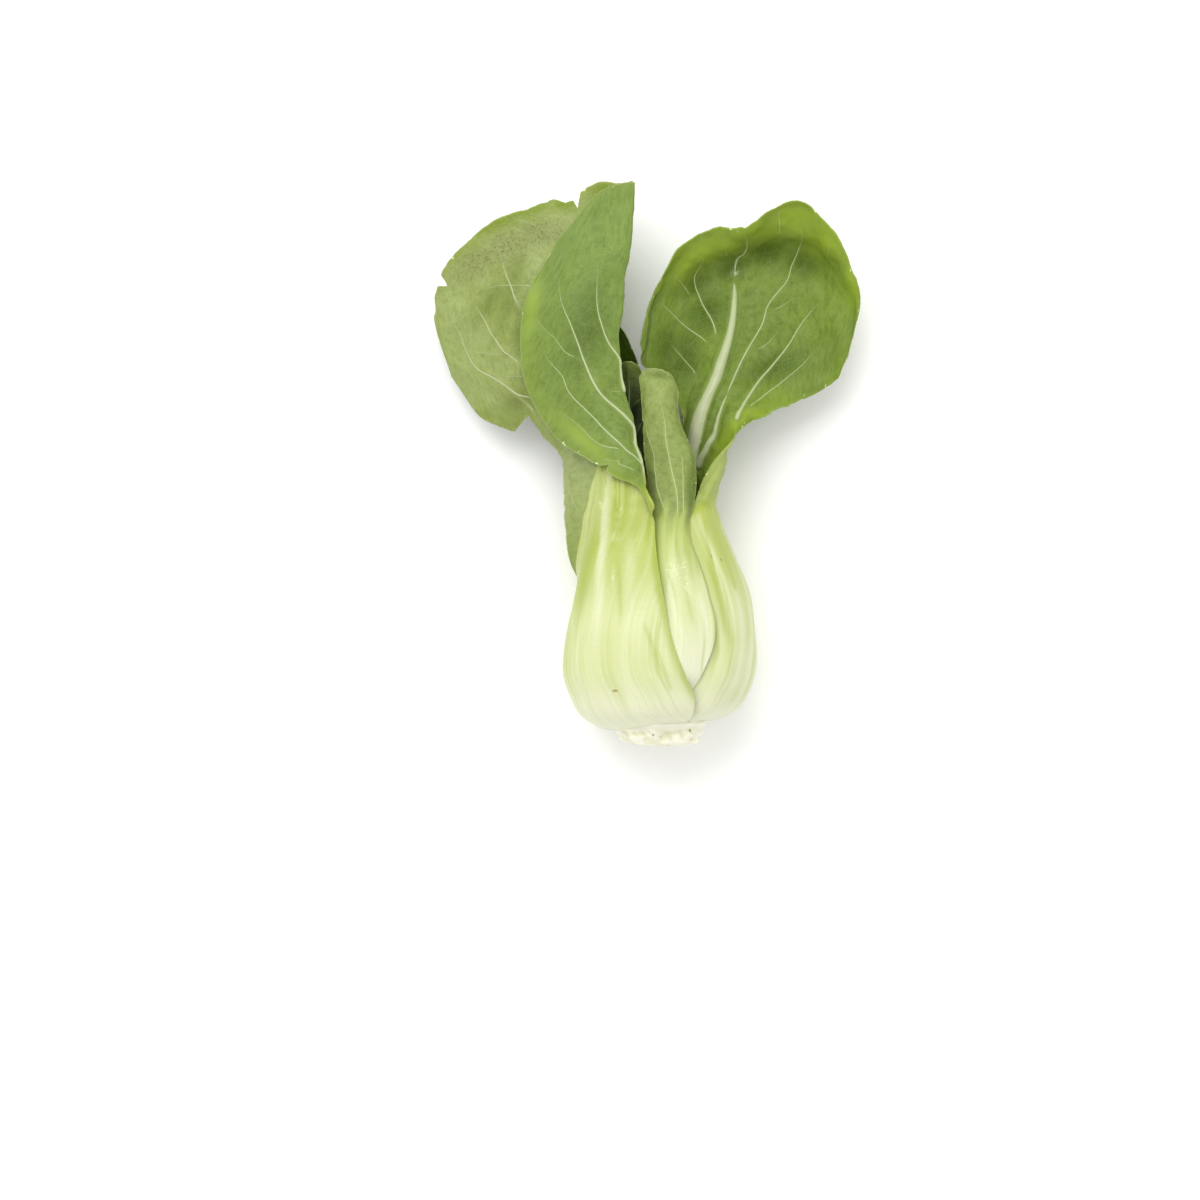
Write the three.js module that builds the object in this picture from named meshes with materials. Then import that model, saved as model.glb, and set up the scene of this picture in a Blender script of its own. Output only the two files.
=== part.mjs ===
// A head of baby bok choy lying on its side: a cut stem base and eight leaves, each a fleshy stalk that
// widens into a thin blade. Millimetres, +Z up, the stub at -Y and the blades at +Y.
import * as THREE from 'three';

const stalkColour = new THREE.Color('#dfe3b4');
const heartStalkColour = new THREE.Color('#d3dc9a');
const paleBladeColour = new THREE.Color('#9db25f');
const openBladeColour = new THREE.Color('#6f9338');
const darkBladeColour = new THREE.Color('#4a6b1e');
const stubColour = new THREE.Color('#e8e3bd');

const seamGap = 0.45; // between a stalk and its blade, along the leaf
const bladeThickness = 0.85;
const stalkEdge = 1.0; // thickness of a stalk at its two long edges
const crescent = 0.75; // how fast a stalk thickens from its edges to its middle
const tuckCurve = 1.5; // how fast a tucked edge comes up to the skin of the bulb
const ribDepth = 0.35; // height of the shallow ribs along a stalk
const surfaceHeight = 0.9; // of the flat surface that the head lies on, before the head is placed
const stalkRoughness = 0.45;
const bladeRoughness = 0.55;
const stemRoughness = 0.7;

// Places along a leaf, counted in rows of knots from its base, or from its seam where the name says so.
const swellEnd = 1.5; // a stalk has its full thickness from here
const ribStart = 1.5;
const ribFull = 3;
const seamBefore = 1.2; // the crescent turns into a flat blade between these two
const seamAfter = 0.6;
const waveBefore = 2.2; // from the end of the blade, where the waves cross it from edge to edge
const slopeStep = 1e-3; // for slopes of a surface

// The head is placed on the plane z = 0 with the middle of its bounding box over the origin.
const placing = new THREE.Vector3(0.07, 1.48, -surfaceHeight);

// Cross-sections of the bulb: y, lean of the section (its right side is this much higher up the head),
// then an ellipse as middle x, half width, middle z, half height.
const bulb = [
  [-84.6, 1.4, 3.4, 14.2, 26.5, 13.0],
  [-83.6, 1.4, 3.4, 20.0, 26.5, 18.2],
  [-80.4, 1.0, 3.3, 25.6, 26.4, 22.6],
  [-75.0, 0.4, 3.4, 28.9, 26.3, 25.2],
  [-67.5, 0.0, 3.5, 31.1, 26.2, 27.0],
  [-57.0, 0.0, 4.0, 30.9, 26.2, 27.0],
  [-45.0, 0.0, 4.4, 28.9, 26.5, 25.2],
  [-33.0, 0.0, 3.3, 25.7, 27.0, 22.4],
  [-20.5, 0.0, 1.1, 22.2, 27.5, 19.3],
];

// A point on the bulb: section number, angle round it (0 right, 90 up) and depth below the skin.
function onBulb(section, degrees, depth) {
  const [y, lean, middleX, halfWidth, middleZ, halfHeight] = bulb[section];
  const before = bulb[Math.max(0, section - 1)];
  const after = bulb[Math.min(bulb.length - 1, section + 1)];
  const slope = new THREE.Vector2(after[0] - before[0], after[3] - before[3]).normalize();
  const angle = THREE.MathUtils.degToRad(degrees);
  return new THREE.Vector3(
    middleX + (halfWidth - depth * slope.x) * Math.cos(angle),
    y + lean * Math.cos(angle) + depth * slope.y,
    middleZ + (halfHeight - depth * slope.x) * Math.sin(angle),
  );
}

// How far a stalk is tucked in, at a share `across` of its width from a tucked edge.
const tucked = ({ deep, reach }, across) => deep * Math.max(0, 1 - across / reach) ** tuckCurve;

// A row of knots across a stalk where it lies on the bulb. The row runs from the angle `from` to the
// angle `to`, and each edge may be tucked under its neighbour.
function bulbRow(section, [from, to, depth = 0], tuckFrom, tuckTo, columns) {
  return Array.from({ length: columns }, (_, k) => {
    const across = k / (columns - 1);
    const sunk = depth + tucked(tuckFrom, across) + tucked(tuckTo, 1 - across);
    return onBulb(section, THREE.MathUtils.lerp(from, to, across), sunk);
  });
}

// A row of knots across a blade as an arc: its middle, half width, roll about the length of the leaf,
// cup (how far the two edges rise, in degrees of arc) and how far the edges are swept back.
function arcRow([x, y, z, halfWidth, roll, cup, sweep], columns) {
  const turn = THREE.MathUtils.degToRad(roll);
  const bend = THREE.MathUtils.degToRad(cup) || 1e-4;
  return Array.from({ length: columns }, (_, k) => {
    const side = (2 * k) / (columns - 1) - 1;
    const out = (Math.sin(bend * side) / bend) * halfWidth;
    const up = ((1 - Math.cos(bend * side)) / bend) * halfWidth;
    return new THREE.Vector3(
      x + out * Math.cos(turn) - up * Math.sin(turn),
      y - sweep * side * side,
      z + out * Math.sin(turn) + up * Math.cos(turn),
    );
  });
}

const point = (p) => new THREE.Vector3(...p);

// Smooth curve through a list of points, at a distance counted in knots.
function through(points, at) {
  const last = points.length - 1;
  const k = Math.min(Math.floor(at), last - 1);
  const t = at - k;
  const b = points[k];
  const c = points[k + 1];
  const a = k > 0 ? points[k - 1] : b.clone().multiplyScalar(2).sub(c);
  const d = k + 2 <= last ? points[k + 2] : c.clone().multiplyScalar(2).sub(b);
  const weights = [
    ((2 - t) * t - 1) * t,
    (3 * t - 5) * t * t + 2,
    ((4 - 3 * t) * t + 1) * t,
    (t - 1) * t * t,
  ];
  return [a, b, c, d].reduce(
    (sum, p, i) => sum.addScaledVector(p, weights[i] / 2),
    new THREE.Vector3(),
  );
}

const surfaceAt = (rows, u, v) =>
  through(rows.map((row) => through(row, u * (row.length - 1))), v);

// Outward normal of a leaf: away from the middle of the head.
function normalAt(rows, u, v) {
  const topV = rows.length - 1;
  const u0 = Math.max(0, u - slopeStep);
  const u1 = Math.min(1, u + slopeStep);
  const v0 = Math.max(0, v - slopeStep);
  const v1 = Math.min(topV, v + slopeStep);
  const across = surfaceAt(rows, u1, v).sub(surfaceAt(rows, u0, v));
  const along = surfaceAt(rows, u, v1).sub(surfaceAt(rows, u, v0));
  return across.cross(along).normalize();
}

const smooth = (a, b, x) => THREE.MathUtils.smoothstep(x, a, b);

// Thickness of a leaf: a crescent in the stalk that thins into a midrib along the blade.
function thicknessAt(leaf, u, v) {
  const { seam, thick, midrib, rows } = leaf;
  const tip = rows.length - 1;
  const rise = smooth(0, swellEnd, v);
  const fleshy = THREE.MathUtils.lerp(thick.base, thick.belly, rise);
  const middle = THREE.MathUtils.lerp(fleshy, thick.neck, smooth(thick.bellyEnd, seam, v));
  const shape = Math.max(0, 1 - (2 * u - 1) ** 2) ** crescent;
  const stalk = stalkEdge + (middle - stalkEdge) * shape;
  const narrow = THREE.MathUtils.lerp(midrib.wide, midrib.fine, smooth(seam, tip, v));
  const ridge = Math.exp(-(((u - midrib.at) / narrow) ** 2));
  const fade = 1 - smooth(seam, tip, v);
  const blade = bladeThickness + (thick.neck - bladeThickness) * ridge * fade;
  return THREE.MathUtils.lerp(stalk, blade, smooth(seam - seamBefore, seam + seamAfter, v));
}

// Ribs along a stalk, and waves along the edge of a blade.
function reliefAt(leaf, u, v) {
  const { seam, ribs, wave, rows } = leaf;
  const tip = rows.length - 1;
  const onStalk = smooth(ribStart, ribFull, v) * (1 - smooth(seam - seamBefore, seam + seamAfter, v));
  const rib = (ribDepth * (Math.cos(2 * Math.PI * ribs * u) - 1)) / 2;
  const onBlade = smooth(seam + seamAfter, tip, v);
  const edge = (2 * u - 1) ** 4 + smooth(tip - waveBefore, tip, v);
  const waves = Math.sin(2 * Math.PI * (wave.alongV * v + wave.acrossU * u) + wave.phase);
  return rib * onStalk + wave.height * onBlade * Math.min(1, edge) * waves;
}

// Outer and inner face of a leaf at one place.
function facesAt(leaf, u, v) {
  const normal = normalAt(leaf.rows, u, v);
  const thickness = thicknessAt(leaf, u, v);
  const outShare = 0.5 * smooth(leaf.seam - seamBefore, leaf.seam + seamAfter, v);
  const middle = surfaceAt(leaf.rows, u, v).addScaledVector(normal, reliefAt(leaf, u, v));
  const outer = middle.clone().addScaledVector(normal, thickness * outShare);
  const inner = middle.clone().addScaledVector(normal, thickness * (outShare - 1));
  const lift = Math.max(0, surfaceHeight - outer.z);
  outer.z += lift;
  inner.z += lift;
  return { outer, inner };
}

// Closed sheet between two heights of a leaf, with both faces split into triangles alike.
function leafSolid(leaf, from, to, acrossSteps, alongSteps) {
  const positions = [];
  const index = [];
  const wide = acrossSteps + 1;
  const count = wide * (alongSteps + 1);
  const inners = [];
  for (let j = 0; j <= alongSteps; j++) {
    for (let i = 0; i <= acrossSteps; i++) {
      const v = THREE.MathUtils.lerp(from, to, j / alongSteps);
      const { outer, inner } = facesAt(leaf, i / acrossSteps, v);
      positions.push(outer.x, outer.y, outer.z);
      inners.push(inner.x, inner.y, inner.z);
    }
  }
  positions.push(...inners);
  for (let j = 0; j < alongSteps; j++) {
    for (let i = 0; i < acrossSteps; i++) {
      const a = j * wide + i;
      const b = a + 1;
      const c = a + wide;
      const d = c + 1;
      index.push(a, b, d, a, d, c);
      index.push(count + a, count + d, count + b, count + a, count + c, count + d);
    }
  }
  const border = [];
  for (let i = 0; i <= acrossSteps; i++) border.push(i);
  for (let j = 1; j <= alongSteps; j++) border.push(j * wide + acrossSteps);
  for (let i = acrossSteps - 1; i >= 0; i--) border.push(alongSteps * wide + i);
  for (let j = alongSteps - 1; j > 0; j--) border.push(j * wide);
  border.forEach((a, k) => {
    const b = border[(k + 1) % border.length];
    index.push(a, count + b, b, a, count + a, count + b);
  });
  const geometry = new THREE.BufferGeometry();
  geometry.setAttribute('position', new THREE.Float32BufferAttribute(positions, 3));
  geometry.setIndex(index);
  geometry.computeVertexNormals();
  return geometry;
}

// Knots along a stalk: for each bulb section from `first` up, its two edge angles and its depth.
function stalkRows({ first, edges, tuckFrom, tuckTo }, columns) {
  return edges.map((edge, k) => bulbRow(first + k, edge, tuckFrom, tuckTo, columns));
}

const loose = { deep: 0, reach: 1 };

const leaves = [
  {
    name: 'leaf_1', // outer leaf at the front left, its right half folded over its left half
    columns: 7,
    stalk: {
      first: 0,
      tuckFrom: { deep: 5, reach: 0.38 },
      tuckTo: loose,
      edges: [[214, 62], [214, 62], [213, 64], [212, 67], [211, 75], [208, 83], [202, 88]],
    },
    // from the left edge, over the midrib to the fold, and back along the folded half
    grid: [
      [[-24.3, -33, 26], [-22.3, -33, 29.5], [-20.3, -33, 35.5], [-16.5, -33, 41.2], [-11, -33, 45.6],
        [-4.2, -33, 48.4], [3.3, -33, 49.4]],
      [[-26, -21.5, 27], [-21, -21, 34], [-16, -20.5, 41], [-10, -20.5, 45], [-5, -20.5, 46.5],
        [-0.5, -20, 46.5], [2, -20, 45.5]],
      [[-26.5, -8.5, 25], [-20, -8, 36], [-14.5, -8, 42], [-9, -9, 45], [-3, -10, 45.5],
        [0.5, -11.5, 47], [0, -14, 49]],
      [[-27.5, 1, 24], [-22, 6, 33], [-15.5, 6.5, 39], [-10, 5.5, 42], [-1.5, -0.5, 43.5],
        [-5.5, 1, 48], [-15, -3, 47.5]],
      [[-34.5, 7.5, 20], [-32.5, 17, 27], [-23.5, 25, 34], [-15, 26.5, 38], [-3.5, 10.5, 41],
        [-15, 15, 44.5], [-29, 6.5, 34]],
      [[-45, 9.5, 15], [-46.5, 26.5, 20], [-37, 44, 28], [-23, 50, 33], [-7.5, 34, 38],
        [-23, 37.5, 40], [-38.5, 23.5, 29]],
      [[-54.5, 15, 12], [-60, 36.5, 14], [-51.5, 61.5, 20], [-30.5, 71, 26], [-6, 62, 33],
        [-22, 61, 35], [-39.5, 47, 30.5]],
      [[-62, 26.5, 11], [-68, 47, 12.5], [-61, 65.5, 15], [-34, 81.5, 19.5], [-3, 88, 26.5],
        [-15, 84.5, 28.5], [-28.5, 69, 30.5]],
    ],
    seam: 8.6,
    thick: { base: 4, belly: 6.5, bellyEnd: 4, neck: 2.6 },
    midrib: { at: 0.5, wide: 0.16, fine: 0.04 },
    ribs: 6,
    wave: { height: 0.5, alongV: 0.8, acrossU: 3, phase: 0.4 },
    steps: { across: 24, stalk: 13, blade: 18 },
    colours: [stalkColour, paleBladeColour],
  },
  {
    name: 'leaf_2', // small inner leaf at the front, between leaves 1 and 3
    columns: 5,
    stalk: {
      first: 3,
      tuckFrom: { deep: 7.5, reach: 0.8 },
      tuckTo: loose,
      edges: [[82, 68, 8.5], [98, 58.5, 1.4], [106, 51, 0.2], [110, 53, 0.2], [112, 55, 0.2]],
    },
    grid: [
      [[-2, -20, 38.5], [1.5, -21, 42], [6, -21, 44.5], [10.5, -21, 44], [13.5, -21.5, 41.8]],
      [[0.5, -9.5, 38], [3.5, -10, 41], [8, -10, 42.5], [12.5, -10, 41.5], [15.5, -10.5, 39]],
      [[-1, 1, 37], [2.5, 2, 39], [7, 2.5, 40], [11.5, 2.5, 39], [15, 1, 36.5]],
      [[-1.5, 12, 36], [1, 14.5, 37.5], [4.5, 15, 38], [7.5, 14.5, 37], [10.5, 11.5, 34]],
      [[-2.5, 25.5, 34], [-0.5, 28.5, 34.5], [3, 28.5, 35], [6.5, 25.5, 34.5], [9.5, 20.5, 33]],
    ],
    seam: 5.6,
    thick: { base: 2.4, belly: 4, bellyEnd: 2, neck: 1.9 },
    midrib: { at: 0.5, wide: 0.16, fine: 0.06 },
    ribs: 3,
    wave: { height: 0.3, alongV: 0.9, acrossU: 1, phase: 0.5 },
    steps: { across: 12, stalk: 10, blade: 10 },
    colours: [stalkColour, paleBladeColour],
  },
  {
    name: 'leaf_3', // outer leaf at the right, its inner face open to the viewer
    columns: 7,
    stalk: {
      first: 0,
      tuckFrom: { deep: 4.6, reach: 0.36 },
      tuckTo: { deep: 4.8, reach: 0.34 },
      edges: [[69, -24], [69, -24], [69, -24], [66, -24], [60, -25], [58, -26], [58, -28], [57, -32],
        [55, -38]],
    },
    // from the right edge, over the midrib to the left edge
    grid: [
      [[15.5, -12, 38.2], [19, -14, 37], [21, -14.5, 31], [20.5, -13.5, 25], [19, -13, 21],
        [16.5, -12.5, 18.5], [14, -11.5, 17.5]],
      [[19.5, -3, 40], [24, -2.5, 34.5], [23, -1, 27], [16.5, -1, 21], [13, 0.5, 19], [11, 1.5, 20],
        [9.5, 2, 22]],
      [[28.5, 8.5, 32], [27.5, 12.5, 27.5], [22.5, 14, 23.5], [17, 12.5, 20.5], [14, 15.5, 21],
        [12, 15, 24], [11.5, 13, 27]],
      [[40.5, 15, 24], [34.5, 25, 20], [28, 30, 18.5], [23, 28.5, 18.5], [17.5, 31.5, 20],
        [13, 25.5, 21], [8, 22, 24]],
      [[53.5, 20.5, 19], [50.5, 36.5, 17], [38.5, 47.5, 16.5], [28, 49, 16], [16, 49, 18],
        [6.5, 41, 21], [1.5, 29, 23]],
      [[61, 26, 19], [62, 47.5, 20], [50.5, 66, 17], [29, 63, 15], [15.5, 61, 18], [3, 47.5, 22],
        [-1, 33, 23.5]],
      [[64, 34, 21], [67.5, 55.5, 24], [54.5, 78.5, 27], [31, 74.5, 25], [15, 70.5, 24],
        [2.5, 54.5, 25], [-1.5, 37.5, 25]],
    ],
    seam: 8.7,
    thick: { base: 4, belly: 6, bellyEnd: 4, neck: 2.4 },
    midrib: { at: 0.5, wide: 0.14, fine: 0.04 },
    ribs: 4,
    wave: { height: 0.5, alongV: 0.8, acrossU: 3, phase: 2 },
    steps: { across: 22, stalk: 13, blade: 18 },
    colours: [stalkColour, openBladeColour],
  },
  {
    name: 'leaf_4', // outer leaf at the back left, its blade flat on the surface under leaf 1
    columns: 5,
    stalk: {
      first: 0,
      tuckFrom: { deep: 4.8, reach: 0.4 },
      tuckTo: loose,
      edges: [[295, 202], [295, 202], [295, 202], [295, 202], [294, 201], [294, 201], [293, 201],
        [292, 203], [288, 208]],
    },
    arcs: [
      [-5.5, -8, 9, 11, 182, -50, 0],
      [-11, 6, 4.5, 14.5, 182, -30, 0],
      [-20.5, 23, 1.2, 19.5, 181, -14, 2],
      [-27, 40, 0.3, 24, 180, -16, 7],
      [-31, 55, 2, 21, 180, -14, 10],
      [-33, 64, 3.5, 10, 180, -10, 5],
    ],
    seam: 9,
    thick: { base: 4, belly: 6, bellyEnd: 4, neck: 2.4 },
    midrib: { at: 0.5, wide: 0.14, fine: 0.05 },
    ribs: 4,
    wave: { height: 0.4, alongV: 0.8, acrossU: 2, phase: 1 },
    steps: { across: 14, stalk: 12, blade: 10 },
    colours: [stalkColour, darkBladeColour],
  },
  {
    name: 'leaf_5', // heart leaf between leaves 1 and 2
    columns: 5,
    stalk: {
      first: 3,
      tuckFrom: loose,
      tuckTo: loose,
      edges: [[182, 100, 9.5], [182, 98, 9.5], [180, 97, 10], [176, 96, 10.5], [172, 92, 10.5],
        [168, 86, 9.5]],
    },
    arcs: [
      [-4, -10, 32, 9, 12, -70, 0],
      [-5, 8, 31, 9, 14, -50, 0],
      [-5.5, 21, 29.5, 7.5, 12, -40, 1.5],
      [-6, 31, 28, 3.5, 10, -30, 1.5],
    ],
    seam: 6.2,
    thick: { base: 2.5, belly: 4, bellyEnd: 2, neck: 1.6 },
    midrib: { at: 0.5, wide: 0.16, fine: 0.06 },
    ribs: 3,
    wave: { height: 0.2, alongV: 0.8, acrossU: 2, phase: 1 },
    steps: { across: 10, stalk: 9, blade: 7 },
    colours: [heartStalkColour, paleBladeColour],
  },
  {
    name: 'leaf_6', // outer leaf at the back right, its blade flat on the surface under leaf 3
    columns: 5,
    stalk: {
      first: 0,
      tuckFrom: loose,
      tuckTo: loose,
      edges: [[346, 284], [346, 284], [346, 284], [346, 284], [346, 284], [344, 284], [342, 284],
        [338, 284], [332, 284]],
    },
    arcs: [
      [11, -9, 7.5, 7.5, 194, -50, 0],
      [18, 5, 4.5, 9.5, 190, -30, 0],
      [26.5, 20, 2.2, 14, 184, -16, 1],
      [33, 38, 0.3, 23, 181, -14, 6],
      [37.5, 53, 2, 20, 180, -12, 9],
      [39.5, 63, 3.5, 10, 180, -10, 5],
    ],
    seam: 9,
    thick: { base: 4, belly: 5.5, bellyEnd: 4, neck: 2.2 },
    midrib: { at: 0.5, wide: 0.16, fine: 0.05 },
    ribs: 3,
    wave: { height: 0.4, alongV: 0.8, acrossU: 2, phase: 2 },
    steps: { across: 12, stalk: 12, blade: 10 },
    colours: [stalkColour, darkBladeColour],
  },
  {
    name: 'leaf_7', // inner leaf at the back, under the heart leaves
    columns: 5,
    stalk: {
      first: 3,
      tuckFrom: loose,
      tuckTo: loose,
      edges: [[312, 216, 9], [312, 214, 9.5], [312, 212, 9.5], [310, 212, 8.5], [306, 212, 7.5],
        [300, 214, 6]],
    },
    arcs: [
      [-3, -8, 16.5, 9, 180, -60, 0],
      [-8, 8, 13.5, 11, 180, -40, 0],
      [-13, 22, 12, 10, 180, -30, 2],
      [-16, 32, 12.5, 5, 180, -20, 2],
    ],
    seam: 6.2,
    thick: { base: 2.5, belly: 4.5, bellyEnd: 2, neck: 1.8 },
    midrib: { at: 0.5, wide: 0.16, fine: 0.06 },
    ribs: 3,
    wave: { height: 0.2, alongV: 0.8, acrossU: 2, phase: 2 },
    steps: { across: 10, stalk: 9, blade: 7 },
    colours: [heartStalkColour, darkBladeColour],
  },
  {
    name: 'leaf_8', // youngest heart leaf, in the middle of the neck
    columns: 5,
    stalk: {
      first: 4,
      tuckFrom: loose,
      tuckTo: loose,
      edges: [[50, -30, 13], [50, -30, 13], [50, -30, 11.5], [48, -30, 10.5], [46, -30, 9.5]],
    },
    arcs: [
      [8, -10, 27, 5, -40, -60, 0],
      [6, 3, 26, 4.5, -5, -50, 0],
      [5, 12, 26.5, 3.5, -5, -40, 1],
      [4.5, 18, 27, 2, -5, -30, 1],
    ],
    seam: 5.2,
    thick: { base: 2, belly: 3, bellyEnd: 1.5, neck: 1.4 },
    midrib: { at: 0.5, wide: 0.18, fine: 0.08 },
    ribs: 2,
    wave: { height: 0.15, alongV: 0.8, acrossU: 1, phase: 0 },
    steps: { across: 8, stalk: 7, blade: 6 },
    colours: [heartStalkColour, paleBladeColour],
  },
];

const head = new THREE.Group();

function addNode(name, geometry, colour, roughness) {
  const material = new THREE.MeshStandardMaterial({ color: colour, roughness, metalness: 0 });
  const mesh = new THREE.Mesh(geometry, material);
  mesh.name = name;
  mesh.position.copy(placing);
  head.add(mesh);
}

for (const leaf of leaves) {
  const blade = leaf.grid
    ? leaf.grid.map((row) => row.map(point))
    : leaf.arcs.map((arc) => arcRow(arc, leaf.columns));
  leaf.rows = [...stalkRows(leaf.stalk, leaf.columns), ...blade];
  const tip = leaf.rows.length - 1;
  const knot = surfaceAt(leaf.rows, 0.5, leaf.seam).distanceTo(
    surfaceAt(leaf.rows, 0.5, leaf.seam + slopeStep),
  ) / slopeStep;
  const { across, stalk, blade: bladeSteps } = leaf.steps;
  addNode(
    leaf.name + '_stalk',
    leafSolid(leaf, 0, leaf.seam, across, stalk),
    leaf.colours[0],
    stalkRoughness,
  );
  addNode(
    leaf.name + '_blade',
    leafSolid(leaf, leaf.seam + seamGap / knot, tip, across, bladeSteps),
    leaf.colours[1],
    bladeRoughness,
  );
}

// Stem base: the cut stub and the short cone of stem that the leaves grow from, as a radius for each y.
const stemProfile = [
  [0, -91.2],
  [7, -91.2],
  [11.6, -91],
  [13.3, -89.6],
  [13.8, -86.6],
  [13, -84.8],
  [12.6, -81.5],
  [10.5, -77.5],
  [7, -72],
  [3, -68],
  [0, -67],
];
const stemSides = 30;
const stemMiddle = { x: 3.4, z: 26.5 };
const stemFlattening = 0.92; // its height over its width
const stemLumps = { count: 3, height: 0.06, fineCount: 7, fineHeight: 0.04, top: -85, fade: 2 };

const stem = new THREE.LatheGeometry(
  stemProfile.map(([radius, y]) => new THREE.Vector2(radius, y)),
  stemSides,
);
const stemPoints = stem.getAttribute('position');
for (let k = 0; k < stemPoints.count; k++) {
  const { count, height, fineCount, fineHeight, top, fade } = stemLumps;
  const turn = Math.atan2(stemPoints.getZ(k), stemPoints.getX(k));
  const onStub = 1 - smooth(top - fade, top, stemPoints.getY(k));
  const waves = height * Math.sin(count * turn + 1) + fineHeight * Math.sin(fineCount * turn);
  stemPoints.setX(k, stemPoints.getX(k) * (1 + waves * onStub));
  stemPoints.setZ(k, stemPoints.getZ(k) * (1 + waves * onStub) * stemFlattening);
}
stem.translate(stemMiddle.x, 0, stemMiddle.z);
addNode('stem_base', stem, stubColour, stemRoughness);

export default head;
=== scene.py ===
import math

import bpy
import numpy as np
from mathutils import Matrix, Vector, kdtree


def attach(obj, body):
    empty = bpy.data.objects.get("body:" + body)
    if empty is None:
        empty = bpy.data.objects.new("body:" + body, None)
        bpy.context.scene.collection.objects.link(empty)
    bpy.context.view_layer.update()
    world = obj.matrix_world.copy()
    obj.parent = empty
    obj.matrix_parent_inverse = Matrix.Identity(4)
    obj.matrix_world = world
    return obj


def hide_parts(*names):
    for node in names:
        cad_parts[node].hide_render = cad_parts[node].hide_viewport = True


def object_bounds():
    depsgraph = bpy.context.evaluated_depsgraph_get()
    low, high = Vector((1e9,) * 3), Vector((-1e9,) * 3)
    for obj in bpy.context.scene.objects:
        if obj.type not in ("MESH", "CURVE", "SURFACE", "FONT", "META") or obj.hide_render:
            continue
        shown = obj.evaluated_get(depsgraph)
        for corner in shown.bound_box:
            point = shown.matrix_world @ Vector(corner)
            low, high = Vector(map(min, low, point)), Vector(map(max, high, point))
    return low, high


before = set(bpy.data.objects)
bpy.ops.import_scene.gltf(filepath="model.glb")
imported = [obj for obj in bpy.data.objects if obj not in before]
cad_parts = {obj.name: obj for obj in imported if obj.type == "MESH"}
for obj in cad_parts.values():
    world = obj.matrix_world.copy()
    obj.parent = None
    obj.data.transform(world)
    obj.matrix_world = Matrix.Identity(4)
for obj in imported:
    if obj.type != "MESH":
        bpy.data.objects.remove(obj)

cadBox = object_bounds()
boxLow = np.array(cadBox[0]) * 1000
boxHigh = np.array(cadBox[1]) * 1000
print("frame loaded,", len(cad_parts), "nodes")

# Lengths are in millimetres and turned into metres as a mesh is made. Those of the stage are in metres.
metre = 0.001
placing = np.array([0.07, 1.48, -0.9])  # the head's move from the knots' frame into the part's
restHeight = 0.9  # height of the surface it lies on, in the knots' frame
eye = np.array([-14.81, -43.32, 3000.0])  # the camera
wholeWidth = (0, 1)  # a part of a leaf, from and to which share of its width


def knotWeights(count, at):
    # weight of each knot at each place of a smooth curve, whose two ends are carried straight on
    k = np.clip(np.floor(at), 0, count - 2).astype(int)
    t = at - k
    shares = [
        ((2 - t) * t - 1) * t,
        (3 * t - 5) * t * t + 2,
        ((4 - 3 * t) * t + 1) * t,
        (t - 1) * t * t,
    ]
    weights = np.zeros((len(at), count + 2))
    line = np.arange(len(at))
    for step, share in enumerate(shares):
        weights[line, k + step] += share / 2
    weights[:, 1] += 2 * weights[:, 0]
    weights[:, 2] -= weights[:, 0]
    weights[:, -2] += 2 * weights[:, -1]
    weights[:, -3] -= weights[:, -1]
    return weights[:, 1:-1]


def surfaceAt(rows, u, v):
    count, columns = rows.shape[:2]
    lengthwise = knotWeights(count, v) @ rows.reshape(count, -1)
    crosswise = knotWeights(columns, u * (columns - 1))
    return np.einsum("ncx,nc->nx", lengthwise.reshape(-1, columns, 3), crosswise)


def lengthOf(vectors):
    return np.linalg.norm(vectors, axis=1)


def runAlong(points):
    # length along a line up to each of its points
    return np.concatenate([[0], np.cumsum(lengthOf(np.diff(points, axis=0)))])


def slopesAt(rows, u, v, step=1e-3):
    # slopes of the surface across and along the leaf, and its outward normal
    u0 = np.maximum(0, u - step)
    u1 = np.minimum(1, u + step)
    v0 = np.maximum(0, v - step)
    v1 = np.minimum(len(rows) - 1, v + step)
    across = (surfaceAt(rows, u1, v) - surfaceAt(rows, u0, v)) / (u1 - u0)[:, None]
    along = (surfaceAt(rows, u, v1) - surfaceAt(rows, u, v0)) / (v1 - v0)[:, None]
    normal = np.cross(across, along)
    return across, along, normal / lengthOf(normal)[:, None]


def reachAt(rows, u, v):
    # the surface and its normal, carried straight on a little way past its edges
    u1 = np.clip(u, 0, 1)
    v1 = np.clip(v, 0, len(rows) - 1)
    across, along, normal = slopesAt(rows, u1, v1)
    base = surfaceAt(rows, u1, v1) + across * (u - u1)[:, None] + along * (v - v1)[:, None]
    return base, normal


def smooth(a, b, x):
    t = np.clip((x - a) / (b - a), 0, 1)
    return t * t * (3 - 2 * t)


def mix(a, b, t):
    return a + (b - a) * t


def within(u, part):
    # which places lie on a part of the leaf's width, and all if none is given
    low, high = part or wholeWidth
    return (u >= low) & (u <= high)


def ripples(points, size, seed, waves=16):
    # a smooth random field of about -1 to 1, whose bumps are about `size` apart
    rng = np.random.default_rng(seed)
    total = np.zeros(len(points))
    for _ in range(waves):
        way = rng.normal(size=points.shape[1])
        way *= 2 * math.pi / (size * rng.uniform(0.7, 1.6) * np.linalg.norm(way))
        total += np.sin(points @ way + rng.uniform(0, 2 * math.pi))
    return total * math.sqrt(2 / waves) / 1.6


def seen(points):
    # where the camera sees these points, on the plane z = 0 of the part
    z = points[:, 2]
    return eye[:2] + (points[:, :2] - eye[:2]) / (1 - z / eye[2])[:, None]


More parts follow.
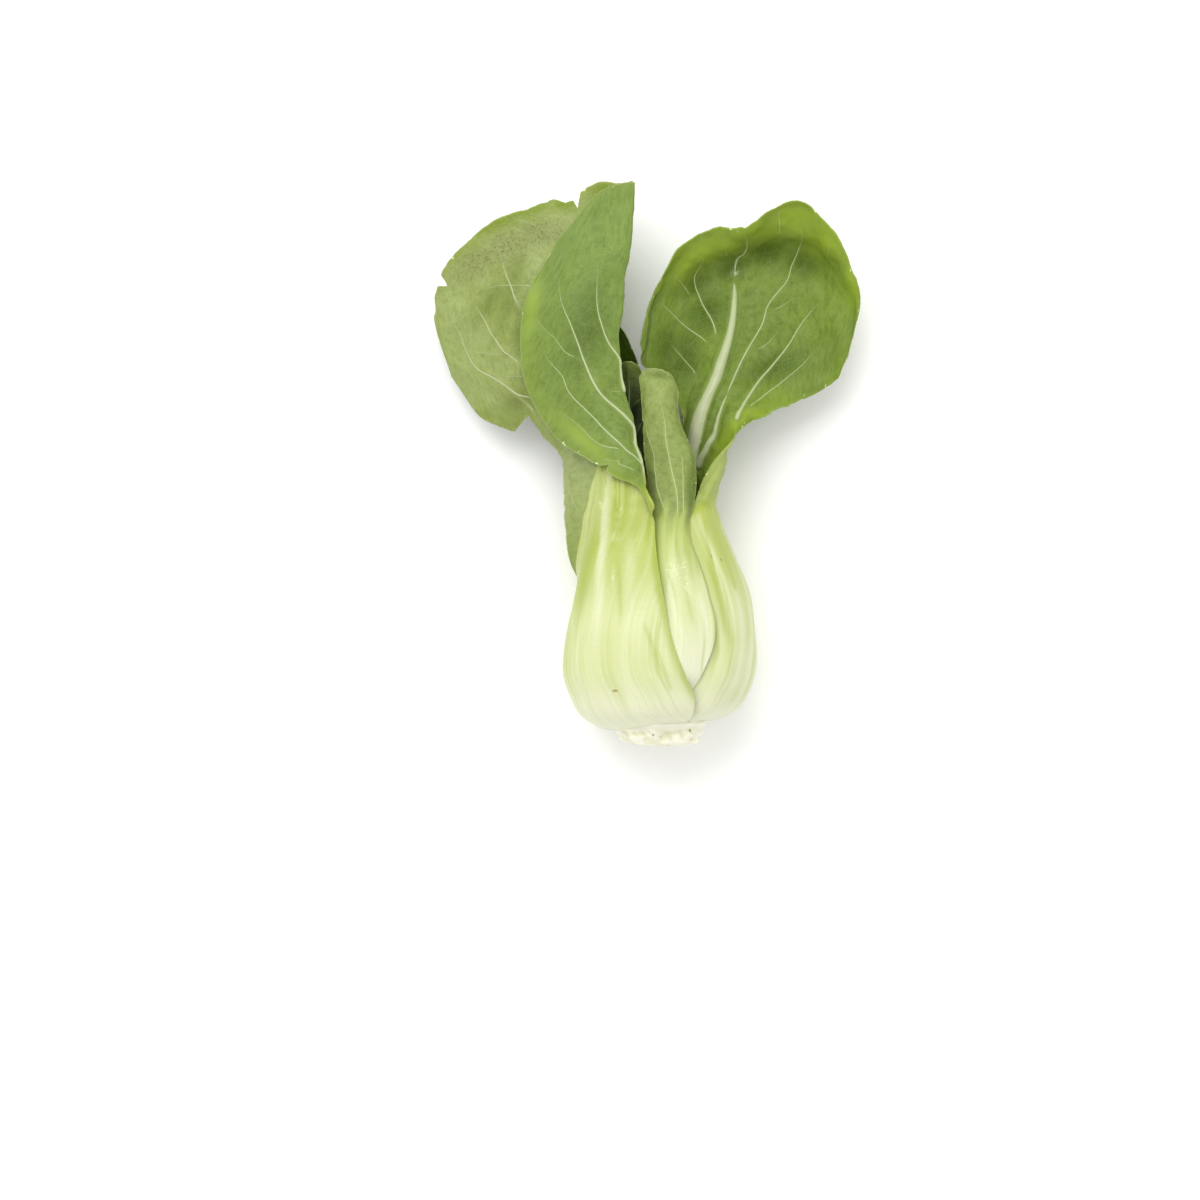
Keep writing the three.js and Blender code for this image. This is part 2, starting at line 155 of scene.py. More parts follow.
# Cross-sections of the bulb: y, lean, then an ellipse as middle x, half width, middle z, half height.
bulb = np.array([
    [-84.6, 1.4, 3.4, 14.2, 26.5, 13.0],
    [-83.6, 1.4, 3.4, 20.0, 26.5, 18.2],
    [-80.4, 1.0, 3.3, 25.6, 26.4, 22.6],
    [-75.0, 0.4, 3.4, 28.9, 26.3, 25.2],
    [-67.5, 0.0, 3.5, 31.1, 26.2, 27.0],
    [-57.0, 0.0, 4.0, 30.9, 26.2, 27.0],
    [-45.0, 0.0, 4.4, 28.9, 26.5, 25.2],
    [-33.0, 0.0, 3.3, 25.7, 27.0, 22.4],
    [-20.5, 0.0, 1.1, 22.2, 27.5, 19.3],
])


def onBulb(section, degrees, depth):
    y, lean, middleX, halfWidth, middleZ, halfHeight = bulb[section]
    before = bulb[max(0, section - 1)]
    after = bulb[min(len(bulb) - 1, section + 1)]
    slope = np.array([after[0] - before[0], after[3] - before[3]])
    slope /= np.linalg.norm(slope)
    angle = np.radians(degrees)
    return np.stack([
        middleX + (halfWidth - depth * slope[0]) * np.cos(angle),
        y + lean * np.cos(angle) + depth * slope[1],
        middleZ + (halfHeight - depth * slope[0]) * np.sin(angle),
    ], axis=1)


def bulbRow(section, edge, tuckFrom, tuckTo, columns):
    across = np.linspace(0, 1, columns)
    depth = edge[2] if len(edge) > 2 else 0
    sunk = depth + sum(
        deep * np.maximum(0, 1 - share / reach) ** 1.5
        for (deep, reach), share in ((tuckFrom, across), (tuckTo, 1 - across))
    )
    return onBulb(section, mix(edge[0], edge[1], across), sunk)


def arcRow(arc, columns):
    x, y, z, halfWidth, roll, cup, sweep = arc
    turn = math.radians(roll)
    bend = math.radians(cup)
    side = np.linspace(-1, 1, columns)
    out = np.sin(bend * side) / bend * halfWidth
    up = (1 - np.cos(bend * side)) / bend * halfWidth
    return np.stack([
        x + out * math.cos(turn) - up * math.sin(turn),
        y - sweep * side * side,
        z + out * math.sin(turn) + up * math.cos(turn),
    ], axis=1)


def knotRows(leaf):
    columns = leaf.get("columns", 5)
    stalk = leaf["stalk"]
    tucks = [stalk.get(side, (0, 1)) for side in ("tuckFrom", "tuckTo")]
    rows = [bulbRow(stalk["first"] + k, edge, *tucks, columns) for k, edge in enumerate(stalk["edges"])]
    rows += [np.array(row, float) for row in leaf.get("grid", [])]
    rows += [arcRow(arc, columns) for arc in leaf.get("arcs", [])]
    return np.array(rows)


form = {
    "stalkEdge": 0.7,  # thickness of a stalk at its long edges
    "bladeMiddle": 0.62,  # thickness of a blade
    "bladeEdge": 0.3,
    "ribDepth": 0.16,
    "fineRibs": 0.012,
    "stalkLumps": 0.22,
    "lumpSize": 16,
    "pucker": 0.33,  # height of the swellings between the veins
    "puckerSize": 9.5,
    "finePucker": 0.11,
    "finePuckerSize": 3.4,
    "valley": 0.35,  # how far the blade stands outwards along its veins
    "midribRise": 0.6,  # how far the middle of a broad vein stands inwards again
    "marginBite": 0.2,  # depth of the small unevenness of a margin
    "biteSizes": (7, 2.6),
    "samples": 400,  # places measured along each margin
}


def thicknessAt(leaf, u, v, edgeDistance):
    seam, thick = leaf["seam"], leaf["thick"]
    tip = len(leaf["rows"]) - 1
    fleshy = mix(thick["base"], thick["belly"], smooth(0, 1.5, v))
    middle = mix(fleshy, thick["neck"], smooth(thick["bellyEnd"], seam, v))
    shape = np.maximum(0, 1 - (2 * u - 1) ** 2) ** 1.2
    stalk = form["stalkEdge"] + (middle - form["stalkEdge"]) * shape
    at, wide, fine = leaf["midrib"]
    narrow = mix(wide, fine, smooth(seam, tip, v))
    ridge = np.exp(-(((u - at) / narrow) ** 2))
    sheet = mix(form["bladeEdge"], form["bladeMiddle"], smooth(0, 3, edgeDistance))
    blade = sheet + (thick["neck"] - sheet) * ridge * (1 - smooth(seam, tip, v))
    return mix(stalk, blade, smooth(seam - 1.2, seam + 0.6, v))


def measureEdges(leaf):
    # lengths along the two long margins and the tip, and the leaf's width at each height
    rows = leaf["rows"]
    tip = len(rows) - 1
    count = form["samples"]
    v = np.linspace(0, tip, count)
    u = np.linspace(0, 1, count)
    margins = {
        "from": (np.zeros(count), v),
        "to": (np.ones(count), v),
        "tip": (u, np.full(count, float(tip))),
    }
    leaf["edgeV"] = v
    leaf["edges"] = {}
    for name, (across, up) in margins.items():
        points = surfaceAt(rows, across, up)
        leaf["edges"][name] = (points + placing, runAlong(points))
    share = np.linspace(0, 1, 60)
    widths = [lengthOf(np.diff(surfaceAt(rows, share, np.full(60, h)), axis=0)).sum() for h in v]
    leaf["widths"] = np.array(widths)
    leaf["tipLength"] = lengthOf(slopesAt(rows, u, np.full(count, tip - 0.3))[1])
    # each nick and bulge with its place along its margin
    leaf["bites"] = []
    for kind in ("nicks", "bulges"):
        for edge, x, y, halfWidth, depth in leaf.get(kind, []):
            points, run = leaf["edges"][edge]
            nearest = np.argmin(lengthOf(seen(points) - np.array([x, y])))
            leaf["bites"].append((kind, edge, run[nearest], halfWidth, depth))


def bitten(leaf, edge, run):
    # how far a margin is set back at each place along it
    small, places = form["marginBite"], run[:, None]
    coarse, fine = form["biteSizes"]
    depth = small * (1 + ripples(places, coarse, leaf["seed"])) / 2
    depth += small * 0.7 * (1 + ripples(places, fine, leaf["seed"] + 1)) / 2
    for kind, name, at, halfWidth, size in leaf["bites"]:
        if name != edge:
            continue
        near = np.clip(1 - np.abs(run - at) / halfWidth, 0, 1)
        if kind == "nicks":
            depth += size * near
        else:
            depth -= size * np.sin(near * math.pi / 2) ** 2
    return depth


def reachOf(depth):
    # how far into the leaf a nick or bulge moves its mesh
    return 2 + 1.8 * np.abs(depth)


def trimmed(leaf, u, v):
    # moves places near a margin in or out, where the margin is uneven, nicked, torn or bulging
    tip = len(leaf["rows"]) - 1
    width = np.interp(v, leaf["edgeV"], leaf["widths"])
    onBlade = smooth(leaf["seam"] - 1.5, leaf["seam"], v)
    u2 = u.copy()
    for edge, sign, away in (("from", 1, u), ("to", -1, 1 - u)):
        run = np.interp(v, leaf["edgeV"], leaf["edges"][edge][1])
        depth = bitten(leaf, edge, run) * onBlade
        u2 += sign * depth * np.exp(-away * width / reachOf(depth)) / width
    share = np.linspace(0, 1, form["samples"])
    length = np.interp(u, share, leaf["tipLength"])
    depth = bitten(leaf, "tip", np.interp(u, share, leaf["edges"]["tip"][1]))
    v2 = v - depth * np.exp(-(tip - v) * length / reachOf(depth)) / length
    edgeDistance = np.minimum(np.minimum(u, 1 - u) * width, (tip - v) * length)
    return u2, v2, edgeDistance


def nearestVein(leaf, points):
    # distance to the nearest larger vein, and that vein's half width
    best = np.full(len(points), 9.0)
    half = np.zeros(len(points))
    for tree, halves in leaf.get("veinTrees", []):
        found = [tree.find(p) for p in points]
        far = np.array([f[2] for f in found])
        mine = halves[np.array([f[1] for f in found])]
        closer = far - mine < best - half
        best = np.where(closer, far, best)
        half = np.where(closer, mine, half)
    return best, half


def reliefAt(leaf, u, v, base, flat, edgeDistance):
    # how far the leaf stands outwards from its plain form, how creased it is, and how far its veins are
    seam, seed = leaf["seam"], leaf["seed"]
    tip = len(leaf["rows"]) - 1
    onStalk = 1 - smooth(seam - 1.4, seam + 0.4, v)
    onBlade = 1 - onStalk
    growing = smooth(1, 3, v)

    wobble = 0.02 * np.sin(v * 1.3 + seed)
    ribs = np.cos(2 * math.pi * leaf["ribs"] * (u + wobble))
    relief = form["ribDepth"] * (ribs - 1) / 2 * onStalk * growing
    lengthwise = np.stack([u * 60, v * 0.9], axis=1)
    relief += form["fineRibs"] * ripples(lengthwise, 4, seed + 2, 24) * onStalk * growing
    relief += form["stalkLumps"] * ripples(base, form["lumpSize"], seed + 3) * onStalk
    away = smooth(0, 2.5, edgeDistance)
    relief += form["pucker"] * ripples(base, form["puckerSize"], seed + 4, 24) * onBlade * away
    relief += form["finePucker"] * ripples(base, form["finePuckerSize"], seed + 5, 24) * onBlade * away

    wave = leaf["wave"]
    toEdge = (2 * u - 1) ** 4 + smooth(tip - 2.2, tip, v)
    turn = 2 * math.pi * (wave["alongV"] * v + wave["acrossU"] * u) + wave["phase"]
    relief += wave["height"] * smooth(seam + 0.6, tip, v) * np.minimum(1, toEdge) * np.sin(turn)

    for x, y, radius, height, *part in leaf.get("swells", []):
        near = np.exp(-(lengthOf(flat - np.array([x, y])) / radius) ** 2)
        relief += height * near * within(u, part)
    crease = np.zeros(len(u))
    for path, halfWidth, depth, *part in leaf.get("creases", []):
        near = np.exp(-(alongLine(flat, path)[0] / halfWidth) ** 2) * within(u, part)
        relief -= depth * near
        if depth > 0:
            crease = np.maximum(crease, near)
    for edge, sink, reach, low, high in leaf.get("sunkEdges", []):
        away = u if edge == "from" else 1 - u
        width = np.interp(v, leaf["edgeV"], leaf["widths"])
        here = smooth(low, low + 0.8, v) * (1 - smooth(high - 0.8, high, v))
        relief -= sink * np.clip(1 - away * width / reach, 0, 1) ** 2 * here

    far, half = nearestVein(leaf, base)
    beyond = far - half
    thin = np.clip(half / 0.5, 0.3, 1) * np.exp(-(far / 1.2) ** 2)
    broad = np.exp(-((beyond - 0.6) / 0.8) ** 2)
    relief += form["valley"] * mix(thin, broad, smooth(0.4, 1.0, half)) * onBlade
    crown = np.clip(1 - (far / np.maximum(half, 0.1)) ** 2, 0, 1)
    relief -= form["midribRise"] * crown * smooth(0.7, 1.6, half) * onBlade
    return relief, crease, beyond + 0.7 * smooth(0.85, 0.4, half)


def leafForm(leaf, u, v):
    # both faces of the leaf at these places, with what its colour needs
    seam = leaf["seam"]
    u, v, edgeDistance = trimmed(leaf, u, v)
    base, normal = reachAt(leaf["rows"], u, v)
    flat = seen(base + placing)
    relief, crease, beyondVein = reliefAt(leaf, u, v, base, flat, edgeDistance)
    thickness = thicknessAt(leaf, u, v, edgeDistance)
    outShare = 0.5 * smooth(seam - 1.2, seam + 0.6, v)
    middle = base + normal * relief[:, None]
    outer = middle + normal * (thickness * outShare)[:, None]
    inner = middle + normal * (thickness * (outShare - 1))[:, None]
    lift = np.maximum(0, restHeight - np.minimum(outer[:, 2], inner[:, 2]))
    outer[:, 2] += lift
    inner[:, 2] += lift
    return {
        "outer": np.clip(outer + placing, boxLow, boxHigh),
        "inner": np.clip(inner + placing, boxLow, boxHigh),
        "normal": normal,
        "flat": flat,
        "edge": edgeDistance,
        "beyondVein": beyondVein,
        "crease": crease,
        "u": u,
        "v": v,
    }


def alongLine(points, path):
    # distance from points in the plane to a line along the path, and the share of its length there
    path = np.array(path, float)
    run = runAlong(path)
    best = np.full(len(points), 1e9)
    share = np.zeros(len(points))
    for k, (a, b) in enumerate(zip(path[:-1], path[1:])):
        way = b - a
        t = np.clip((points - a) @ way / (way @ way), 0, 1)
        far = lengthOf(points - a - t[:, None] * way)
        closer = far < best
        best = np.where(closer, far, best)
        share = np.where(closer, mix(run[k], run[k + 1], t) / run[-1], share)
    return best, share


def placesSeen(leaf, path, low, high):
    # places on the leaf, between two shares of its width, that the camera sees at the path's points
    rows = leaf["rows"]
    tip = len(rows) - 1
    u, v = np.meshgrid(np.linspace(low, high, 70), np.linspace(leaf["seam"] - 3, tip, 140))
    u, v = u.ravel(), v.ravel()
    flat = seen(surfaceAt(rows, u, v) + placing)
    places = []
    for target in np.array(path, float):
        k = np.argmin(lengthOf(flat - target))
        at = np.array([u[k], v[k]])
        for _ in range(6):
            probe = at + np.array([[0, 0], [1e-3, 0], [0, 1e-3]])
            p = seen(surfaceAt(rows, probe[:, 0], np.clip(probe[:, 1], 0, tip)) + placing)
            slope = np.stack([p[1] - p[0], p[2] - p[0]], axis=1) / 1e-3
            step = np.linalg.lstsq(slope, target - p[0], rcond=1e-3)[0]
            at = at + np.clip(step, -0.05, 0.05)
            at = np.clip(at, [low, 0], [high, tip])
        places.append(at)
    return np.array(places)


def alongPath(places, steps):
    return knotWeights(len(places), np.linspace(0, len(places) - 1, steps)) @ places


veinGrowth = {
    "step": 1.3,  # length of one step of a main vein
    "sideStep": 1.1,
    "wander": 0.09,  # how much a heading changes in one step
    "inside": (0.012, 0.988),  # shares of the width between which veins grow
    "tipGap": 0.06,
    "angles": (0.5, 0.95),  # of the main veins to the midrib, at the seam and at the tip
    "shares": (1.15, 0.6),  # of the full length, at the seam and at the tip
    "sideGaps": (0.5, 0.9),
    "sideAngles": (0.75, 1.0),
    "sideShares": (0.7, 1.4),
    "sideBends": (0.02, 0.06),
}


def grow(leaf, starts, headings, lengths, bends, step):
    # lines that set off from `starts` at an angle to the leaf's length, and stop near a margin
    rows = leaf["rows"]
    tip = len(rows) - 1
    low, high = veinGrowth["inside"]
    top = tip - veinGrowth["tipGap"]
    rng = np.random.default_rng(leaf["seed"] + 11)
    at = np.array(starts, float)
    heading = np.array(headings, float)
    lines = [[tuple(p)] for p in at]
    alive = np.ones(len(at), bool)
    for k in range(int(max(lengths) / step)):
        across, along, _ = slopesAt(rows, at[:, 0], at[:, 1])
        at = at + np.stack([
            step * np.sin(heading) / lengthOf(across),
            step * np.cos(heading) / lengthOf(along),
        ], axis=1)
        heading = heading + np.array(bends) * step + rng.normal(0, veinGrowth["wander"], len(at))
        inside = (at[:, 0] > low) & (at[:, 0] < high) & (at[:, 1] < top) & (at[:, 1] > 0)
        alive &= inside & ((k + 1) * step < np.array(lengths))
        at = np.clip(at, [0, 0], [1, tip])
        for line, p, on in zip(lines, at, alive):
            if on:
                line.append(tuple(p))
    return [np.array(line) for line in lines if len(line) > 2]


def addVein(leaf, places, wide, fine, weight=1.0):
    leaf["veins"].append({"places": np.array(places), "wide": wide, "fine": fine, "weight": weight})


def mainVeins(leaf):
    # the midrib, then veins from it towards the margins, in turn on its two sides
    tip = len(leaf["rows"]) - 1
    at = leaf["midrib"][0]
    seam = leaf["seam"]
    plan = leaf["mainVeins"]
    places = 24
    line = np.stack([np.full(places, at), np.linspace(seam - 0.3, tip - 0.15, places)], axis=1)
    addVein(leaf, line, plan["wide"], 0.25)
    count = plan["count"]
    heights = np.linspace(seam - 0.1, tip - 0.9, count)
    for side in plan.get("sides", (-1, 1)):
        starts = [(at, h + 0.12 * side) for h in heights]
        headings = [side * mix(*veinGrowth["angles"], k / count) for k in range(count)]
        lengths = [plan["length"] * mix(*veinGrowth["shares"], k / count) for k in range(count)]
        bends = [-side * plan["bend"]] * count
        for places in grow(leaf, starts, headings, lengths, bends, veinGrowth["step"]):
            addVein(leaf, places, plan["wide"] * 0.5, 0.2, 0.8)


def sideVeins(leaf):
    # short veins that leave the larger ones on both sides
    rows, gap, length = leaf["rows"], leaf["sideGap"], leaf["sideLength"]
    rng = np.random.default_rng(leaf["seed"] + 21)
    starts, headings, lengths, bends = [], [], [], []
    for vein in list(leaf["veins"]):
        places = vein["places"]
        across, along, _ = slopesAt(rows, *places.T)
        run = runAlong(surfaceAt(rows, *places.T))
        side = 1 if rng.uniform() < 0.5 else -1
        at = gap * rng.uniform(*veinGrowth["sideGaps"])
        while at < run[-1] - 0.3 * gap:
            k = min(np.searchsorted(run, at), len(places) - 1)
            j = max(k, 1)
            du = (places[j, 0] - places[j - 1, 0]) * lengthOf(across)[j]
            dv = (places[j, 1] - places[j - 1, 1]) * lengthOf(along)[j]
            starts.append(places[k])
            headings.append(math.atan2(du, dv) + side * rng.uniform(*veinGrowth["sideAngles"]))
            lengths.append(length * rng.uniform(*veinGrowth["sideShares"]))
            bends.append(-side * rng.uniform(*veinGrowth["sideBends"]))
            side = -side
            at += gap * rng.uniform(*veinGrowth["sideGaps"])
    if starts:
        for places in grow(leaf, starts, headings, lengths, bends, veinGrowth["sideStep"]):
            addVein(leaf, places, 0.3, 0.12, 0.4)


def plantVeins(leaf):
    # the traced veins first, then those that grow from them
    leaf["veins"] = []
    top = [1, len(leaf["rows"]) - 1]
    for wide, fine, path, *part in leaf.get("traced", []):
        places = alongPath(placesSeen(leaf, path, *(part or wholeWidth)), 8 * len(path))
        addVein(leaf, places, wide, fine)
    if "mainVeins" in leaf:
        mainVeins(leaf)
    leaf["veinTrees"] = []
    larger = list(leaf["veins"])
    for isBroad in (True, False):
        points, halves = [], []
        for vein in larger:
            if (vein["wide"] > 1.5) != isBroad:
                continue
            count = 6 * len(vein["places"])
            places = np.clip(alongPath(vein["places"], count), 0, top)
            points.append(surfaceAt(leaf["rows"], *places.T))
            halves.append(np.linspace(vein["wide"], vein["fine"], count) / 2)
        if not points:
            continue
        points = np.concatenate(points)
        tree = kdtree.KDTree(len(points))
        for k, p in enumerate(points):
            tree.insert(p, k)
        tree.balance()
        leaf["veinTrees"].append((tree, np.concatenate(halves)))
    sideVeins(leaf)


veinRidge = {
    "across": [-1, -0.6, 0, 0.6, 1, 0],  # places round its cross-section, the last one inside the leaf
    "outer": [-0.04, 0.1, 0.15, 0.1, -0.04, -0.16],  # its height there on the outer face
    "inner": [-0.04, 0.06, 0.08, 0.06, -0.04, -0.16],
    "core": [0, 0.8, 1, 0.8, 0, 0],
    "slim": 0.6,  # the ridge's width as a share of the vein's
    "widest": 2.2,  # a broader vein is part of the sheet itself
    "spacing": 0.9,  # length of one step along a ridge
    "leastHalf": 0.05,
    "sink": 0.2,  # how deep in the leaf its foot starts, and how deep it stays where the leaf lies flat
    "room": (0.1, 0.35),  # heights above the surface between which it rises out of the leaf again
}


def veinRings(leaf):
    # where every ridge's cross-sections lie on the leaf, with their height, depth and paleness
    rows = leaf["rows"]
    tip = len(rows) - 1
    ring = np.array(veinRidge["across"])
    gridU, gridV, tall, sunk, core, spans = [], [], [], [], [], []
    for vein in leaf["veins"]:
        length = lengthOf(np.diff(surfaceAt(rows, *vein["places"].T), axis=0)).sum()
        steps = max(5, int(length / veinRidge["spacing"]))
        u, v = np.clip(alongPath(vein["places"], steps), 0, [1, tip]).T
        half = np.linspace(vein["wide"], vein["fine"], steps) / 2
        keep = half * 2 < veinRidge["widest"]
        half = half * veinRidge["slim"] * smooth(-0.6, 0.12, np.linspace(1, 0, steps))
        half = np.maximum(veinRidge["leastHalf"], half)
        if keep.sum() < 4:
            continue
        u, v, half = u[keep], v[keep], half[keep]
        across, along, normal = slopesAt(rows, u, v)
        side = np.cross(normal, np.gradient(surfaceAt(rows, u, v), axis=0))
        side /= np.maximum(lengthOf(side), 1e-9)[:, None]
        # the sideways step, in shares across and along the leaf
        aa, bb, ab = (across ** 2).sum(1), (along ** 2).sum(1), (across * along).sum(1)
        sa, sb = (side * across).sum(1), (side * along).sum(1)
        det = aa * bb - ab * ab
        du = (sa * bb - sb * ab) / det
        dv = (sb * aa - sa * ab) / det
        gridU.append((u[:, None] + (du * half)[:, None] * ring).ravel())
        gridV.append((v[:, None] + (dv * half)[:, None] * ring).ravel())
        tall.append(np.repeat(np.clip(half / 0.3, 0.75, 1.5), len(ring)))
        # its foot rises out of the blade over the first few steps
        risen = smooth(-1.5, 5, np.arange(len(u)))
        sunk.append(np.repeat(veinRidge["sink"] * (1 - risen), len(ring)))
        strength = vein["weight"] * np.clip(0.74 + 1.3 * half, 0, 1)
        strength = strength * smooth(0, 0.2, np.linspace(1, 0, len(u)) + 0.02) * risen
        core.append((strength[:, None] * np.array(veinRidge["core"])).ravel())
        spans.append(len(u))
    u = np.clip(np.concatenate(gridU), 0, 1)
    v = np.clip(np.concatenate(gridV), 0, tip)
    return u, v, np.concatenate(tall), np.concatenate(sunk), np.concatenate(core), spans


def tubeFaces(order, first, steps):
    # faces of one ridge, whose cross-sections follow each other from the point `first`
    size = len(order)
    faces = []
    for k in range(steps - 1):
        at = first + size * k
        for a, b in zip(order, order[1:] + order[:1]):
            faces.append((at + a, at + b, at + size + b, at + size + a))
    faces.append(tuple(first + a for a in reversed(order)))
    faces.append(tuple(first + size * (steps - 1) + a for a in order))
    return faces


def veinMesh(leaf, name, material):
    # thin tapered ridges on both faces of the blade, along its veins
    u, v, tall, sunk, core, spans = veinRings(leaf)
    made = leafForm(leaf, u, v)
    size, sink = len(veinRidge["across"]), veinRidge["sink"]
    points, faces = [], []
    for number, (face, sign) in enumerate((("outer", 1), ("inner", -1))):
        lift = np.tile(veinRidge[face], sum(spans)) * tall - sunk
        # where this face lies on the surface its veins stay inside the leaf
        near, clear = veinRidge["room"]
        low = smooth(clear, near, made[face][:, 2]) * (sign * made["normal"][:, 2] < 0)
        lift = lift * (1 - 0.8 * low) - sink * low
        points.append(made[face] + made["normal"] * (sign * lift)[:, None])
        first = number * len(tall)
        for steps in spans:
            faces += tubeFaces(list(range(size))[::sign], first, steps)
            first += size * steps
    points = np.clip(np.concatenate(points), boxLow, boxHigh)
    piece = makePiece(name, points, faces, material)
    setLeafValues(piece, leaf, made, core)
    return piece


def addObject(name, data):
    made = bpy.data.objects.new(name, data)
    bpy.context.collection.objects.link(made)
    return made


def makePiece(name, points, faces, material):
    mesh = bpy.data.meshes.new(name)
    mesh.from_pydata((points * metre).tolist(), [], faces)
    mesh.shade_smooth()
    mesh.materials.append(material)
    return addObject(name, mesh)


def setValues(piece, name, values):
    kind = "FLOAT" if values.ndim == 1 else "FLOAT_VECTOR"
    made = piece.data.attributes.new(name, kind, "POINT")
    key = "value" if kind == "FLOAT" else "vector"
    made.data.foreach_set(key, np.ascontiguousarray(values, np.float32).ravel())


def leafMesh(leaf, name, material):
    # one closed sheet from the foot of the stalk to the tip
    rows = leaf["rows"]
    tip = len(rows) - 1
    wide, stalkSteps, bladeSteps = leaf["fine"]
    # closer together near the margins
    share = np.linspace(-1, 1, wide + 1)
    u = (share * 0.86 + np.sin(share * math.pi / 2) * 0.14 + 1) / 2
    seam = leaf["seam"]
    v = np.concatenate([
        np.linspace(0, seam - 0.8, stalkSteps + 1)[:-1],
        np.linspace(seam - 0.8, tip, bladeSteps + 1),
    ])
    gridU, gridV = np.meshgrid(u, v)
    made = leafForm(leaf, gridU.ravel(), gridV.ravel())
    points = np.concatenate([made["outer"], made["inner"]])
    across, up = len(u), len(v)
    count = across * up
    cell = np.arange(count).reshape(up, across)
    a, b = cell[:-1, :-1].ravel(), cell[:-1, 1:].ravel()
    c, d = cell[1:, :-1].ravel(), cell[1:, 1:].ravel()
    faces = np.concatenate([
        np.stack([a, b, d, c], axis=1),
        np.stack([a, c, d, b], axis=1) + count,
    ])
    border = np.concatenate([cell[0, :-1], cell[:-1, -1], cell[-1, :0:-1], cell[:0:-1, 0]])
    following = np.roll(border, -1)
    rim = np.stack([border, border + count, following + count, following], axis=1)
    piece = makePiece(name, points, np.concatenate([faces, rim]).tolist(), material)
    setLeafValues(piece, leaf, made, np.zeros(count))
    return piece


def markedAt(flat, u, marks):
    # how strongly each point lies in one of the marks
    mask = np.zeros(len(u))
    for x, y, halfLong, halfHigh, turn, *part in marks:
        off = flat - np.array([x, y])
        cosine, sine = math.cos(math.radians(turn)), math.sin(math.radians(turn))
        p = off[:, 0] * cosine + off[:, 1] * sine
        q = off[:, 1] * cosine - off[:, 0] * sine
        near = np.exp(-((p / halfLong) ** 2 + (q / halfHigh) ** 2))
        mask = np.maximum(mask, near * within(u, part))
    return mask


def streakedAt(flat, streaks):
    # above 0 along a greener streak, below 0 along a whiter one
    streaked = np.zeros(len(flat))
    for path, halfWidth, strength in streaks:
        far, along = alongLine(flat, path)
        near = np.exp(-(far / halfWidth) ** 2) * smooth(0, 0.35, along) * smooth(1, 0.6, along)
        streaked = np.where(np.abs(strength) * near > np.abs(streaked), strength * near, streaked)
    return streaked


def setLeafValues(piece, leaf, made, core):
    # what the materials read at each point, the same on the outer and the inner face
    rows = leaf["rows"]
    heights = np.linspace(0, len(rows) - 1, 200)
    run = runAlong(surfaceAt(rows, np.full(200, 0.5), heights))
    u, v = made["u"], made["v"]
    width = np.interp(v, leaf["edgeV"], leaf["widths"])
    low, high = leaf["greens"]
    green = smooth(low, high, v + leaf.get("wing", 0.6) * np.abs(2 * u - 1) ** 3)
    if "wingEdge" in leaf:
        at, share = np.array(leaf["wingEdge"]).T
        inward = (np.interp(v, at, share) - u) * width
        green = np.maximum(green, smooth(-0.2, 0.5, inward) * (v > at[0]))
    values = {
        "green": green,
        "height": smooth(0, leaf["seam"], v),
        "share": u,
        "edge": made["edge"],
        "beyondVein": made["beyondVein"],
        "crease": made["crease"],
        "core": core,
        "streaked": streakedAt(made["flat"], leaf.get("streaks", [])),
        "leafPlace": np.stack([
            (u - 0.5) * width,
            np.interp(v, heights, run),
            np.full(len(u), leaf["seed"] * 7.0),
        ], axis=1),
    }
    # real marks first, then the painted shade and painted highlight marks
    for key in ("bruise", "stain", "scuff", "shade", "light"):
        values[key] = markedAt(made["flat"], u, leaf.get(key, []))
    for key, value in values.items():
        setValues(piece, key, np.concatenate([value, value]))
    count = len(u)
    setValues(piece, "inside", np.concatenate([np.zeros(count), np.ones(count)]))


def tone(code):
    # a colour as written for screens, turned into Blender's linear values
    parts = [int(code[k:k + 2], 16) / 255 for k in (1, 3, 5)]
    return tuple(p / 12.92 if p <= 0.04045 else ((p + 0.055) / 1.055) ** 2.4 for p in parts) + (1.0,)


